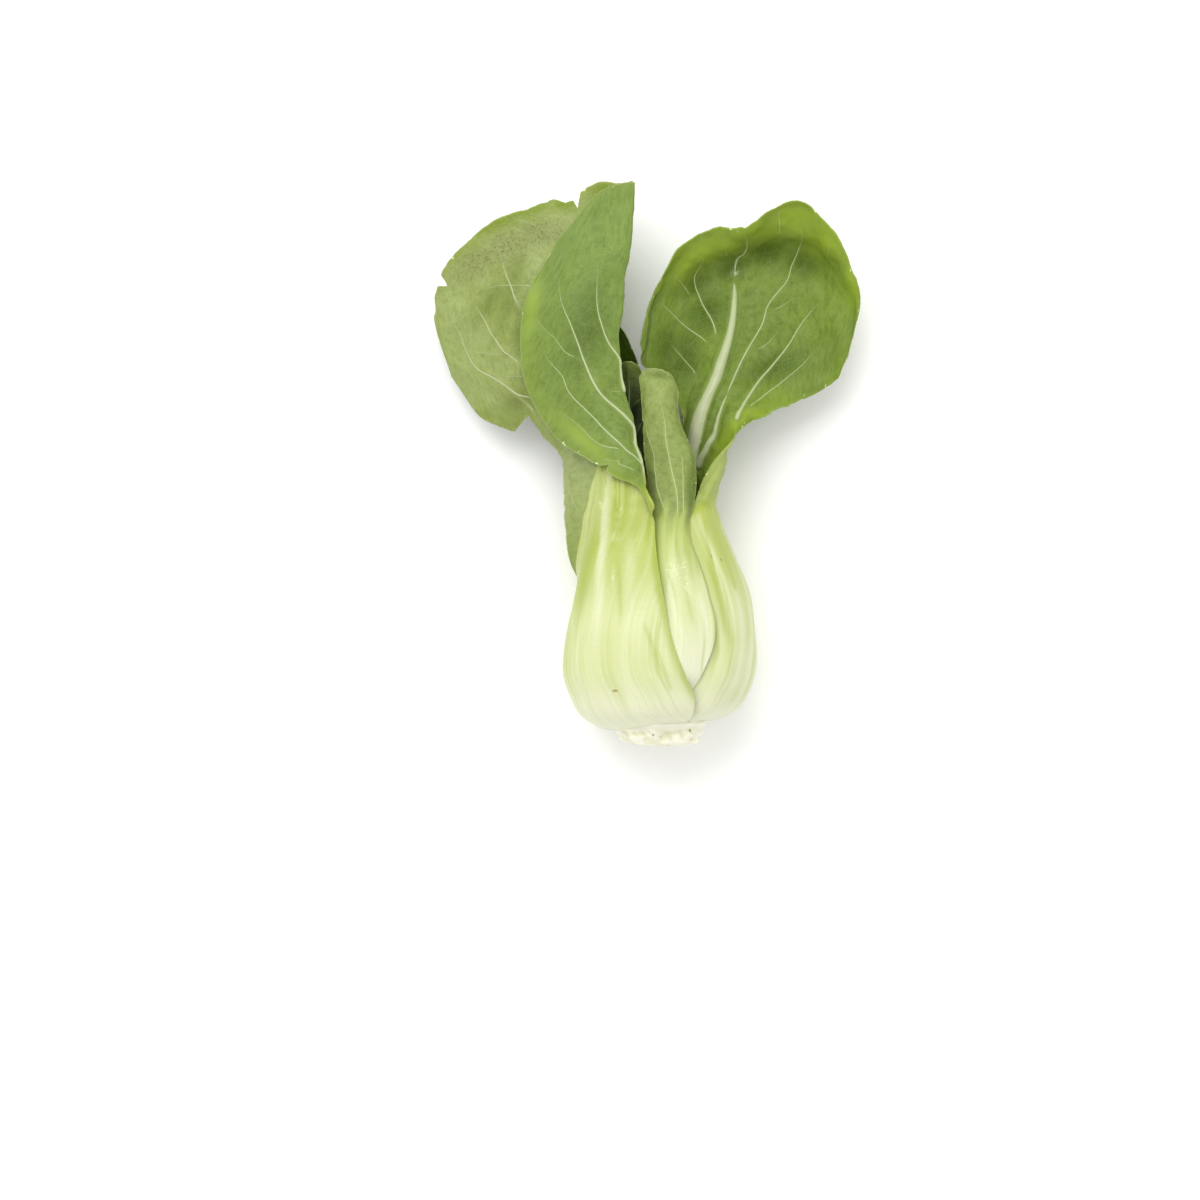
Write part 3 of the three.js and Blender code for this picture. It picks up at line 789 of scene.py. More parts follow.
class Paint:
    # a node material under construction
    def __init__(self, name):
        self.material = bpy.data.materials.new(name)
        self.material.use_nodes = True
        self.tree = self.material.node_tree
        self.tree.nodes.clear()

    def node(self, kind, inputs=None, **settings):
        made = self.tree.nodes.new("ShaderNode" + kind)
        for key, value in settings.items():
            setattr(made, key, value)
        for key, value in (inputs or {}).items():
            if isinstance(value, bpy.types.NodeSocket):
                self.tree.links.new(value, made.inputs[key])
            else:
                made.inputs[key].default_value = tone(value) if isinstance(value, str) else value
        return made

    def value(self, name):
        return self.node("Attribute", attribute_name=name).outputs["Fac"]

    def vector(self, name):
        return self.node("Attribute", attribute_name=name).outputs["Vector"]

    def math(self, operation, a, b=0.0):
        return self.node("Math", {0: a, 1: b}, operation=operation).outputs[0]

    def ramp(self, x, low, high, start=0.0, end=1.0):
        inputs = {0: x, 1: low, 2: high, 3: start, 4: end}
        return self.node("MapRange", inputs, interpolation_type="SMOOTHSTEP").outputs[0]

    def blend(self, share, a, b):
        return self.node("Mix", {0: share, 6: a, 7: b}, data_type="RGBA").outputs[2]

    def layers(self, colour, look, covers):
        # tones over a colour, each with its cover or ramp and then its colour or key in the look
        for cover, over in covers:
            cover = self.ramp(*cover) if isinstance(cover, tuple) else cover
            colour = self.blend(cover, colour, look[over] if isinstance(over, str) else over)
        return colour

    def stretch(self, vector, x, y):
        return self.node("Mapping", {"Vector": vector, "Scale": (x, y, 1.0)}).outputs[0]

    def both(self, a, b):
        return self.math("MULTIPLY", a, b)

    def noise(self, vector, scale, detail=2.0, rough=0.5, colour=False):
        inputs = {"Vector": vector, "Scale": scale, "Detail": detail, "Roughness": rough}
        return self.node("TexNoise", inputs).outputs["Color" if colour else "Fac"]

    def cells(self, vector, scale, feature="DISTANCE_TO_EDGE"):
        made = self.node("TexVoronoi", {"Vector": vector, "Scale": scale}, feature=feature)
        return made.outputs["Distance"]

    def bump(self, height, distance, strength, under=None):
        inputs = {"Height": height, "Distance": distance, "Strength": strength}
        if under is not None:
            inputs["Normal"] = under
        return self.node("Bump", inputs).outputs[0]

    def finish(self, colour, roughness, normal, soft=0.0, **fixed):
        inputs = {"Base Color": colour, "Roughness": roughness, "Normal": normal}
        shader = self.node("BsdfPrincipled", dict(inputs, **{"Subsurface Weight": soft}))
        for key, value in fixed.items():
            shader.inputs[key.replace("_", " ")].default_value = value
        out = self.node("OutputMaterial")
        self.tree.links.new(shader.outputs[0], out.inputs[0])
        return self.material


def bladePaint(paint, look, place, inside, drift, grain, net, warped):
    # two greens in drifting patches, with a faint net of small veins
    small = paint.noise(place, 0.42, 4.0, 0.62)
    warm = paint.ramp(drift, 0.38, 0.62)
    outer = paint.blend(warm, look["outer"], look["outerWarm"])
    inner = paint.blend(warm, look["inner"], look["innerWarm"])
    # deep: darker patches of the leaf's own green, and also painted shade where the shade marks lie;
    # bright: painted highlight and painted glow of light through thin rims
    deep = paint.blend(inside, look["outerDeep"], look["deep"])
    bright = paint.blend(inside, look["outerBright"], look["bright"])
    pale = paint.blend(inside, look["outerVein"], look["veinSide"])
    beyond = paint.value("beyondVein")
    patchy = paint.noise(place, 0.9, 2.0, 0.6)
    ridge = paint.both(paint.value("core"), paint.ramp(patchy, 0.2, 0.6, 0.75, 1.0))
    edge = paint.value("edge")
    # painted glow of light through the thin rim, fading within 7 mm of the margin
    paintedRimGlow = paint.both(paint.ramp(edge, 7.0, 0.3, 0.0, look["rimGlow"]), paint.ramp(drift, 0.3, 0.6))
    teeth = paint.ramp(paint.cells(place, 0.4, "F1"), 0.2, 0.13)
    return paint.layers(paint.blend(inside, outer, inner), look, [
        ((small, 0.4, 0.72, 0.0, look["mottle"]), deep),
        ((grain, 0.42, 0.75, 0.0, 0.4), deep),
        # painted shade from the shade marks, then painted highlights from the light marks
        (paint.value("shade"), deep),
        (paint.value("light"), bright),
        ((net, 0.0, 0.07, look["net"], 0.0), pale),
        ((paint.cells(warped, 1.0), 0.0, 0.12, look["net"] * 0.5, 0.0), pale),
        # veins: a soft pale border, the broad ones white-green down their middle, then the thin ridges
        ((beyond, 1.3, 0.0, 0.0, 0.3), pale),
        ((beyond, 0.2, -0.25), pale),
        ((beyond, 0.05, -0.6), "vein"),
        ((beyond, -0.7, -2.0, 0.0, 0.8), "midrib"),
        (ridge, "vein"),
        # the margin: the painted glow of light through its rim, a thin light line and tiny pale teeth
        (paintedRimGlow, bright),
        ((edge, 0.5, 0.1, 0.0, 0.6), "margin"),
        (paint.both(teeth, paint.ramp(edge, 1.5, 0.4, 0.0, 0.8)), "teeth"),
    ])


def stalkPaint(paint, look, grain, streak, fineStreak, hair):
    # cream at its foot, greener upwards and at its edges, with long soft streaks
    height = paint.value("height")
    streaked = paint.value("streaked")
    above = paint.ramp(height, 0.05, 0.3)
    ragged = paint.ramp(fineStreak, 0.3, 0.7, 0.6, 1.0)
    out = paint.math("ABSOLUTE", paint.math("SUBTRACT", paint.value("share"), 0.5))
    return paint.layers(look["foot"], look, [
        ((height, 0.08, 0.5), "stalk"),
        ((height, 0.68, 1.0, 0.0, look["topGreen"]), "neck"),
        (paint.both(above, paint.ramp(streak, 0.48, 0.66, 0.0, 0.35)), "streak"),
        (paint.both(paint.ramp(streaked, 0.0, -1.0), ragged), "streak"),
        (paint.both(paint.ramp(streaked, 0.0, 1.0), ragged), "creaseTone"),
        (paint.both(above, paint.ramp(streak, 0.48, 0.32, 0.0, 0.24)), "neck"),
        (paint.both(above, paint.ramp(fineStreak, 0.48, 0.7, 0.0, 0.17)), "neck"),
        ((fineStreak, 0.48, 0.3, 0.0, 0.15), "streak"),
        ((hair, 0.4, 0.7, 0.0, 0.13), "neck"),
        ((grain, 0.5, 0.72, 0.0, 0.12), "neck"),
        # the long edges greener, partly the stalk's own colour and partly painted shade where it meets its
        # neighbour
        (paint.both(paint.ramp(out, 0.45, 0.5, 0.0, 0.65), paint.ramp(height, 0.12, 0.4)), "creaseTone"),
        # a darker green along the creases, partly the stalk's greener tone and partly painted shade in
        # them
        (paint.both(paint.value("crease"), 0.3), "creaseTone"),
    ])


def leafPaint(name, look):
    paint = Paint(name)
    place = paint.vector("leafPlace")
    inside = paint.value("inside")
    drift = paint.noise(place, 0.05, 3.0, 0.55)
    grain = paint.noise(place, 2.2, 3.0, 0.65)
    drifting = paint.noise(place, 0.5, 2.0, 0.5, colour=True)
    warped = paint.node("VectorMath", {0: place, 1: drifting}, operation="ADD").outputs[0]
    net = paint.cells(warped, 0.36)
    blade = bladePaint(paint, look, place, inside, drift, grain, net, warped)

    streak = paint.noise(paint.stretch(place, 0.14, 0.007), 1.0, 1.0, 0.5)
    fineStreak = paint.noise(paint.stretch(place, 0.5, 0.016), 1.0, 2.0, 0.5)
    hair = paint.noise(paint.stretch(place, 1.7, 0.05), 1.0, 3.0, 0.6)
    stalk = stalkPaint(paint, look, grain, streak, fineStreak, hair)

    # streaks of green run down into the stalk
    green = paint.value("green")
    wild = paint.math("SUBTRACT", paint.math("ADD", streak, fineStreak), 1.0)
    wild = paint.both(wild, paint.ramp(green, 1.0, 0.6, 0.0, 0.9))
    ragged = paint.math("ADD", green, wild)
    bruise = paint.value("bruise")
    speck = paint.ramp(paint.noise(place, 1.5, 3.0, 0.7), 0.5, 0.62)
    rubbed = paint.ramp(paint.noise(place, 1.7, 2.0, 0.7), 0.42, 0.6)
    rubbed = paint.both(rubbed, paint.value("scuff"))
    colour = paint.layers(stalk, look, [
        ((ragged, 0.05, 0.55), "neck"),
        ((ragged, 0.35, 0.95), blade),
        # bruised, stained and rubbed places
        (paint.both(bruise, 0.6), "bruise"),
        (paint.both(paint.both(bruise, speck), 0.8), "bruiseSpeck"),
        ((paint.value("stain"), 0.25, 0.9, 0.0, 0.8), "stain"),
        (paint.both(rubbed, 0.6), "scuff"),
    ])

    normal = paint.bump(paint.ramp(net, 0.0, 0.16), 0.00008, 0.3)
    normal = paint.bump(grain, 0.00006, 0.35, normal)
    normal = paint.bump(fineStreak, 0.0001, 0.25, normal)
    normal = paint.bump(hair, 0.00006, 0.25, normal)
    rough = paint.ramp(green, 0.1, 0.9, look["stalkRough"], look["bladeRough"])
    rough = paint.math("ADD", rough, paint.ramp(grain, 0.2, 0.8, -0.05, 0.06))
    soft = paint.ramp(green, 0.0, 0.9, look["soft"], look["bladeSoft"])
    return paint.finish(
        colour, rough, normal, soft,
        Subsurface_Radius=(0.9, 0.9, 0.5),
        Subsurface_Scale=0.0011,
        Specular_IOR_Level=look["shine"],
    )


# Tones and strengths of the leaves. The other looks start from the first one.
palePaint = dict(
    # the outer face of a blade; outerDeep is also its painted shade, outerBright its painted highlight and
    # painted glow through the rim
    outer="#8f9c5f", outerWarm="#86944c", outerDeep="#6b7934", outerBright="#66790d",
    outerVein="#97a16a",
    # its inner face; deep is also its painted shade, bright its painted highlight and painted glow through
    # the rim
    inner="#6d833c", innerWarm="#72873a", deep="#4c601c", bright="#82983a", veinSide="#788a4c",
    # both faces
    vein="#adb68a", midrib="#bbbd9e", margin="#9fa86b", teeth="#d5dca2", bruise="#767c46",
    bruiseSpeck="#59522b", stain="#8a7340", scuff="#dfe2c0",
    # the stalk
    foot="#d8d9be", stalk="#c6cb9a", neck="#9fab45", streak="#d6d8ba", creaseTone="#90a034",
    # strengths and finish; rimGlow is how strongly the glow of light through the rim is painted
    mottle=0.5, net=0.24, rimGlow=0.2, topGreen=0.8, stalkRough=0.36, bladeRough=0.5, shine=0.2,
    soft=0.22, bladeSoft=0.03,
)
openPaint = dict(
    palePaint,
    outer="#8f9f53", outerWarm="#95a557", outerDeep="#6a7e30", outerBright="#98a659", inner="#6b7f34",
    innerWarm="#708630", deep="#44590d", bright="#7e9327", veinSide="#758744", vein="#a8b285",
    margin="#899b49", rimGlow=0.25, shine=0.16,
)
heartPaint = dict(
    palePaint,
    outer="#83934e", outerWarm="#879750", outerDeep="#5a6b2c", inner="#4e6224", innerWarm="#536824",
    deep="#364a0d", bright="#7c8f3a", veinSide="#929f5f", vein="#abb47a", neck="#a4b161", topGreen=1.0,
)
# darker greens for the back leaves under the front ones: partly their own darker green, partly painted
# shade
darkShadedPaint = dict(
    palePaint,
    outer="#596f2b", outerWarm="#60752d", outerDeep="#3e530d", outerBright="#657a30",
    outerVein="#738349", inner="#40560a", innerWarm="#435908", deep="#17290d", bright="#44590d",
    veinSide="#465917", vein="#859260", shine=0.1,
)
# tones of the leaves deep inside the head, made dark as painted shade, with a grey-green outer face
deepShadePaint = dict(
    palePaint,
    outer="#576533", outerWarm="#586632", outerDeep="#0d170d", outerVein="#576236", inner="#24360d",
    innerWarm="#2d400d", deep="#0d1a0d", bright="#44590d", veinSide="#465917", vein="#7c8957", net=0.08,
    shine=0.05,
)

# One dictionary per leaf. Places across a leaf are shares of its width, from its "from" margin at 0 to its
# "to" margin at 1. Heights count its rows of points, from 0 at its foot.
#   seam: height where the stalk ends; greens: heights between which it turns green
#   midrib: its share across, and its half width at the seam and the tip; ribs: how many round the stalk
#   fine: faces across, up the stalk and up the blade; sideGap, sideLength: of the small veins
#   stalk: the bulb's cross-section it starts at, then per row the degrees round the bulb of its two edges
#   and its depth; tuckFrom, tuckTo: how deep and how far an edge goes under its neighbour
#   grid: rows of points x, y, z; arcs: x, y, z, half width, roll, cup and sweep of a row
#   sunkEdges: margin, depth, reach and heights; creases: path, half width, depth
#   bruise, stain, scuff, shade, light: place, two half widths, turn. Shade is painted shade, light is
#       painted highlight and painted glow through thin rims
# Traced veins, creases, swells and marks may end with the part of the leaf's width that they lie on.
lowerPart = (0, 0.667)  # the first leaf's width up to its fold
foldedPart = (0.667, 1)

leafOne = dict(
    # outer leaf at the front left, its right half folded over its left half
    columns=7, seam=8.6, midrib=(0.5, 0.16, 0.04), ribs=6, greens=(9.0, 10.0), wing=0.9,
    sideGap=7.5, sideLength=7, fine=(190, 74, 146), seed=1,
    thick=dict(base=4, belly=6.5, bellyEnd=4, neck=2.6),
    wave=dict(height=0.5, alongV=0.8, acrossU=3, phase=0.4),
    mainVeins=dict(count=5, wide=2.2, length=46, bend=0.004, sides=(-1,)),
    sunkEdges=[("to", -1.0, 6, 7.2, 10.2)],
    stalk=dict(
        first=0, tuckFrom=(5, 0.38),
        edges=[(214, 62), (214, 62), (213, 64), (212, 67), (211, 75), (208, 83), (202, 88)],
    ),
    # from the left edge, over the midrib to the fold, and back along the folded half
    grid=[
        [(-24.3, -33, 26), (-22.3, -33, 29.5), (-20.3, -33, 35.5), (-16.5, -33, 41.2), (-11, -33, 45.6),
         (-4.2, -33, 48.4), (3.3, -33, 49.4)],
        [(-26, -21.5, 27), (-21, -21, 34), (-16, -20.5, 41), (-10, -20.5, 45), (-5, -20.5, 46.5),
         (-0.5, -20, 46.5), (2, -20, 45.5)],
        [(-26.5, -8.5, 25), (-20, -8, 36), (-14.5, -8, 42), (-9, -9, 45), (-3, -10, 45.5),
         (0.5, -11.5, 47), (0, -14, 49)],
        [(-27.5, 1, 24), (-22, 6, 33), (-15.5, 6.5, 39), (-10, 5.5, 42), (-1.8, -0.3, 43.5),
         (-5.5, 1, 48), (-15, -3, 47.5)],
        [(-34.5, 7.5, 20), (-32.5, 17, 27), (-23.5, 25, 34), (-15, 26.5, 38), (-4.7, 11.3, 41),
         (-15, 15, 44.5), (-29, 6.5, 34)],
        [(-45, 9.5, 15), (-46.5, 26.5, 20), (-37, 44, 28), (-23, 50, 33), (-9, 34, 38), (-23, 37.5, 40),
         (-38.5, 23.5, 29)],
        [(-54.5, 15, 12), (-60, 36.5, 14), (-51.5, 61.5, 20), (-30.5, 71, 26), (-6.5, 62, 33),
         (-22, 61, 35), (-39.5, 47, 30.5)],
        [(-62, 26.5, 11), (-68, 47, 12.5), (-61, 65.5, 15), (-34, 81.5, 19.5), (-4, 88.2, 26.5),
         (-15, 84.5, 28.5), (-28.5, 69, 30.5)],
    ],
    # the wing at its left edge: its inner border as a share of the width, at each height
    wingEdge=[(6.3, 0.0), (7, 0.14), (8, 0.19), (9, 0.25), (9.5, 0.34), (10, 0.47)],
    # traced veins: width at the foot and the end, then the path and the part of the leaf it is on
    traced=[
        (1.9, 0.35, [(-7.2, 24), (-7.1, 28.4), (-8.7, 33.2), (-11.9, 38.9), (-14.8, 46.6), (-15.8, 53.3),
            (-15.5, 64.8)], *foldedPart),
        (2.1, 0.35, [(-0.6, -6), (-2.3, 6.3), (-3.9, 11.7), (-8.1, 16.5), (-14.8, 22.9), (-19.9, 33.2),
            (-21.9, 38.9), (-24.4, 45.3), (-26.6, 51.1), (-28.2, 62.6)], *foldedPart),
        (1.5, 0.3, [(-1.1, -3.3), (-2, 0.8), (-5.8, 4.4), (-10.7, 8.8), (-17.1, 15.2), (-24.1, 22.6),
            (-27, 28.4), (-30.5, 32.5), (-33, 38)], *foldedPart),
        (0.7, 0.2, [(-7.1, 4.7), (-13.9, 6), (-20.6, 11.7), (-27.3, 17.2)], *foldedPart),
        (0.7, 0.2, [(-2, -3), (-8.1, -0.1), (-14.8, 2.1)], *foldedPart),
        (0.55, 0.2, [(-20.9, 33.5), (-25.4, 35.7), (-29.5, 40.5), (-32.1, 42.8),
            (-36.2, 48.8)], *foldedPart),
        (0.5, 0.2, [(-14.5, 22.9), (-11, 23.6), (-7.6, 23.6)], *foldedPart),
        (1.3, 0.4, [(-35.9, 17.5), (-40.7, 22.3), (-46.5, 26.8), (-53.5, 30.6), (-57, 35.1),
            (-59.9, 42.8), (-62.5, 46.6)], *lowerPart),
        (0.5, 0.2, [(-57, 36.4), (-49.7, 35.4), (-43.9, 35.1)], *lowerPart),
        (1.2, 0.4, [(-40.4, 32.5), (-45.2, 36.4), (-49, 41.5), (-52.3, 47.2), (-56.4, 53.6)], *lowerPart),
        (1.1, 0.4, [(-40.1, 49.8), (-42.7, 56.2), (-45.2, 62), (-45.9, 65.8), (-46.2, 74.8)], *lowerPart),
        (0.6, 0.25, [(-33, 68.4), (-34.6, 70.3), (-35.6, 75.4)], *lowerPart),
        (0.6, 0.25, [(-21.2, -15.8), (-23.4, -10), (-24.8, -4)], 0, 0.4),
    ],
    # greener streaks of the stalk above 0, whiter ones below: path, half width, strength
    streaks=[
        ([(-11, 20.7), (-13.9, 4.7), (-15.8, -11.3), (-18.3, -27.3), (-21.2, -43.3),
            (-24.7, -68.9)], 3.2, 0.85),
        ([(-22.5, -33), (-25.5, -48), (-26.3, -60), (-25.7, -78)], 3.4, 0.4),
        ([(-10.4, 8), (-12.2, -11.3), (-14.5, -30.5), (-15.8, -49.7), (-16.7, -72.1)], 1.8, -0.72),
        ([(-5.5, -14.5), (-5.2, -43.3), (-5.2, -65.7)], 2.4, -0.45),
        ([(-9.7, -24.1), (-8.7, -38.5), (-8.1, -56.1)], 1.1, 0.45),
        ([(0.5, -4.9), (1.8, -24.1), (4.1, -40.8), (8.2, -59.3)], 1.7, 0.7),
        ([(-1.1, -47.2), (3.1, -62.5), (7.6, -75.3)], 1.0, 0.22),
        ([(-9.7, -4.9), (-9.4, -17.7), (-10.4, -35.3)], 1.6, 0.3),
        ([(-19.9, -46.5), (-21.2, -59.3), (-19.9, -75.3)], 1.5, 0.3),
        ([(0.5, -56.1), (2.8, -64.1), (4.4, -72.1)], 0.5, 0.4),
        ([(2.8, -56.1), (5.7, -65.1), (9.5, -72.1)], 0.5, 0.45),
    ],
    # nicks and tears: margin, place, half width, depth
    nicks=[
        ("from", -37.5, 9.5, 5.0, 7.5), ("tip", -63.8, 58.1, 1.7, 3.4), ("tip", -22.5, 87.2, 1.5, 5.4),
        ("to", -16.5, -4.6, 1.4, 2.2), ("tip", -66.8, 50, 2.2, 0.7), ("tip", -3.4, 91, 1.7, 1.1),
    ],
    # fuller stretches of the margins, in the same form
    bulges=[
        ("tip", -14.8, 89.5, 7.5, 1.7), ("tip", -25.5, 86, 4.5, -2.4), ("tip", -49.4, 79.6, 14, 1.9),
        ("to", -4, -8.5, 9, -2.4),
    ],
    creases=[
        ([(-62.2, 56.8), (-60.2, 52.4)], 0.45, 0.3, *lowerPart),
        ([(-50.7, 58.8), (-44.6, 62.2), (-38.5, 64.5)], 0.5, 0.5, *lowerPart),
        ([(-0.4, -52), (3.1, -60.9), (7.6, -71.5)], 0.8, 0.05),
    ],
    bruise=[
        (-53.9, 64.8, 9, 4.0, 28, *lowerPart), (-45.2, 70, 8, 5.0, 28, *lowerPart),
        (-34, 74.4, 8, 4.2, 20, *lowerPart),
    ],
    stain=[(-10, -72.4, 1.3, 0.6, 8), (-38.5, 24.5, 0.5, 0.4, 0, *lowerPart)],
    scuff=[
        (-14.2, -12.9, 0.7, 1.2, 20), (-10, -23.2, 1.6, 1.0, 0), (-13.9, -13.2, 0.5, 0.9, 0),
        (-10.3, -22.8, 0.8, 0.5, 10), (-7.8, -14.2, 0.4, 0.8, 0), (-10.7, -36.3, 0.3, 2.5, 0),
    ],
    # painted shade in the dips of both halves
    shade=[
        (-43, 55.9, 3.5, 14, -15, *lowerPart), (-19.3, 43.1, 6, 14, -10, *foldedPart),
        (-40.4, 20.7, 4, 8, -30, *lowerPart), (-49.4, 52.7, 3, 9, -35, *lowerPart),
        (-40.4, 43.1, 2.5, 8, 0, *lowerPart),
    ],
    # painted highlights on the folded half, painted glow of light through the lower half's rim, and the
    # paler yellow-green the blade has where the fold meets the stalk
    light=[
        (-36.5, 51, 2.6, 11, -8, *foldedPart), (-20.5, 8.5, 12, 2.8, -42, *foldedPart),
        (-45.9, 77.6, 19, 2.8, 21, *lowerPart), (-12.2, 88.5, 7, 3.2, 10, *lowerPart),
        (-26.6, 83.1, 4, 2, 0, *lowerPart), (-62.2, 68.7, 2, 8, -40, *lowerPart),
        (-9.1, -4.3, 5, 2, -30, 0.8, 1), (-3.3, -8.1, 5, 2, -40, 0.8, 1),
        (1.2, -13.2, 4, 1.8, -50, 0.8, 1),
    ],
)

leafTwo = dict(
    # small inner leaf at the front, between the first and the third
    seam=5.6, midrib=(0.5, 0.16, 0.06), ribs=3, greens=(3.7, 6.4), sideGap=6,
    sideLength=5, fine=(96, 90, 80), seed=2,
    thick=dict(base=2.4, belly=4, bellyEnd=2, neck=1.9),
    wave=dict(height=0.3, alongV=0.9, acrossU=1, phase=0.5),
    sunkEdges=[("to", 1.6, 3.5, 2.4, 5.2)],
    stalk=dict(
        first=3, tuckFrom=(6.5, 0.55),
        edges=[(80, 67, 3.0), (96, 62, 1.0), (104, 55.5, 0.2), (108, 55.5, 0.2), (112, 56.5, 0.2)],
    ),
    grid=[
        [(-2, -20, 38.5), (1.5, -21, 42), (6, -21, 44.5), (10.5, -21, 44), (13.5, -21.5, 41.8)],
        [(0.5, -9.5, 38), (3.5, -10, 41), (8, -10, 42.5), (12.5, -10, 41.5), (15.5, -10.5, 39)],
        [(-1, 1, 37), (2.5, 2, 39), (7, 2.5, 40), (11.5, 2.5, 39), (15, 1, 36.5)],
        [(-1.5, 12, 36), (1, 14.5, 37.5), (4.5, 15, 38), (7.5, 14.5, 37), (10.5, 11.5, 34)],
        [(-2.5, 25.5, 34), (-0.5, 28.5, 34.5), (3.5, 28.5, 35), (7.8, 26.5, 34.5), (10, 20.5, 33)],
    ],
    traced=[
        (1.15, 0.4, [(10.2, -19), (9.8, -11.3), (8.2, -2.4), (6.3, 7.9), (5.7, 14.3), (3.7, 22.6)]),
        (1.0, 0.4, [(7.3, -18.4), (5, -11.3), (3.7, -6.8), (2.8, 0.2), (2, 5.3), (0.5, 9.8),
            (-0.4, 14.3)]),
        (1.0, 0.35, [(12.1, -19.6), (11.6, -10), (11.6, -2.4), (10.8, 4.7)]),
    ],
    streaks=[
        ([(5.7, -28.9), (7.6, -40.1), (10.2, -50.4), (14, -62.5), (15.3, -70.2)], 1.5, -0.6),
        ([(15.9, -38.5), (19.1, -49.7), (19.8, -59.3)], 1.6, -0.7),
        ([(0.5, -8.1), (2.5, -20.9), (4.4, -33.7), (7, -49.7)], 2.6, 0.8),
        ([(12.1, -8.1), (13.3, -20.9), (15.3, -33.7), (17.8, -46.5)], 2.2, 0.75),
        ([(7.6, -11.3), (9.5, -24.1), (13.3, -43.3), (17.8, -61.2)], 1.3, 0.6),
    ],
    nicks=[("from", -1.4, 12.7, 1.3, 1.2)],
    scuff=[(8.5, -33.7, 2, 2.6, 0), (11.8, -32.4, 1.5, 1.8, 0), (13, -39, 1.2, 3.6, 15)],
    # painted shade along both margins and at the top
    shade=[(14.1, -9.5, 2, 9, -4), (0.9, -9.4, 1.2, 7, 10), (4.4, 28.7, 4, 1.2, -10)],
)

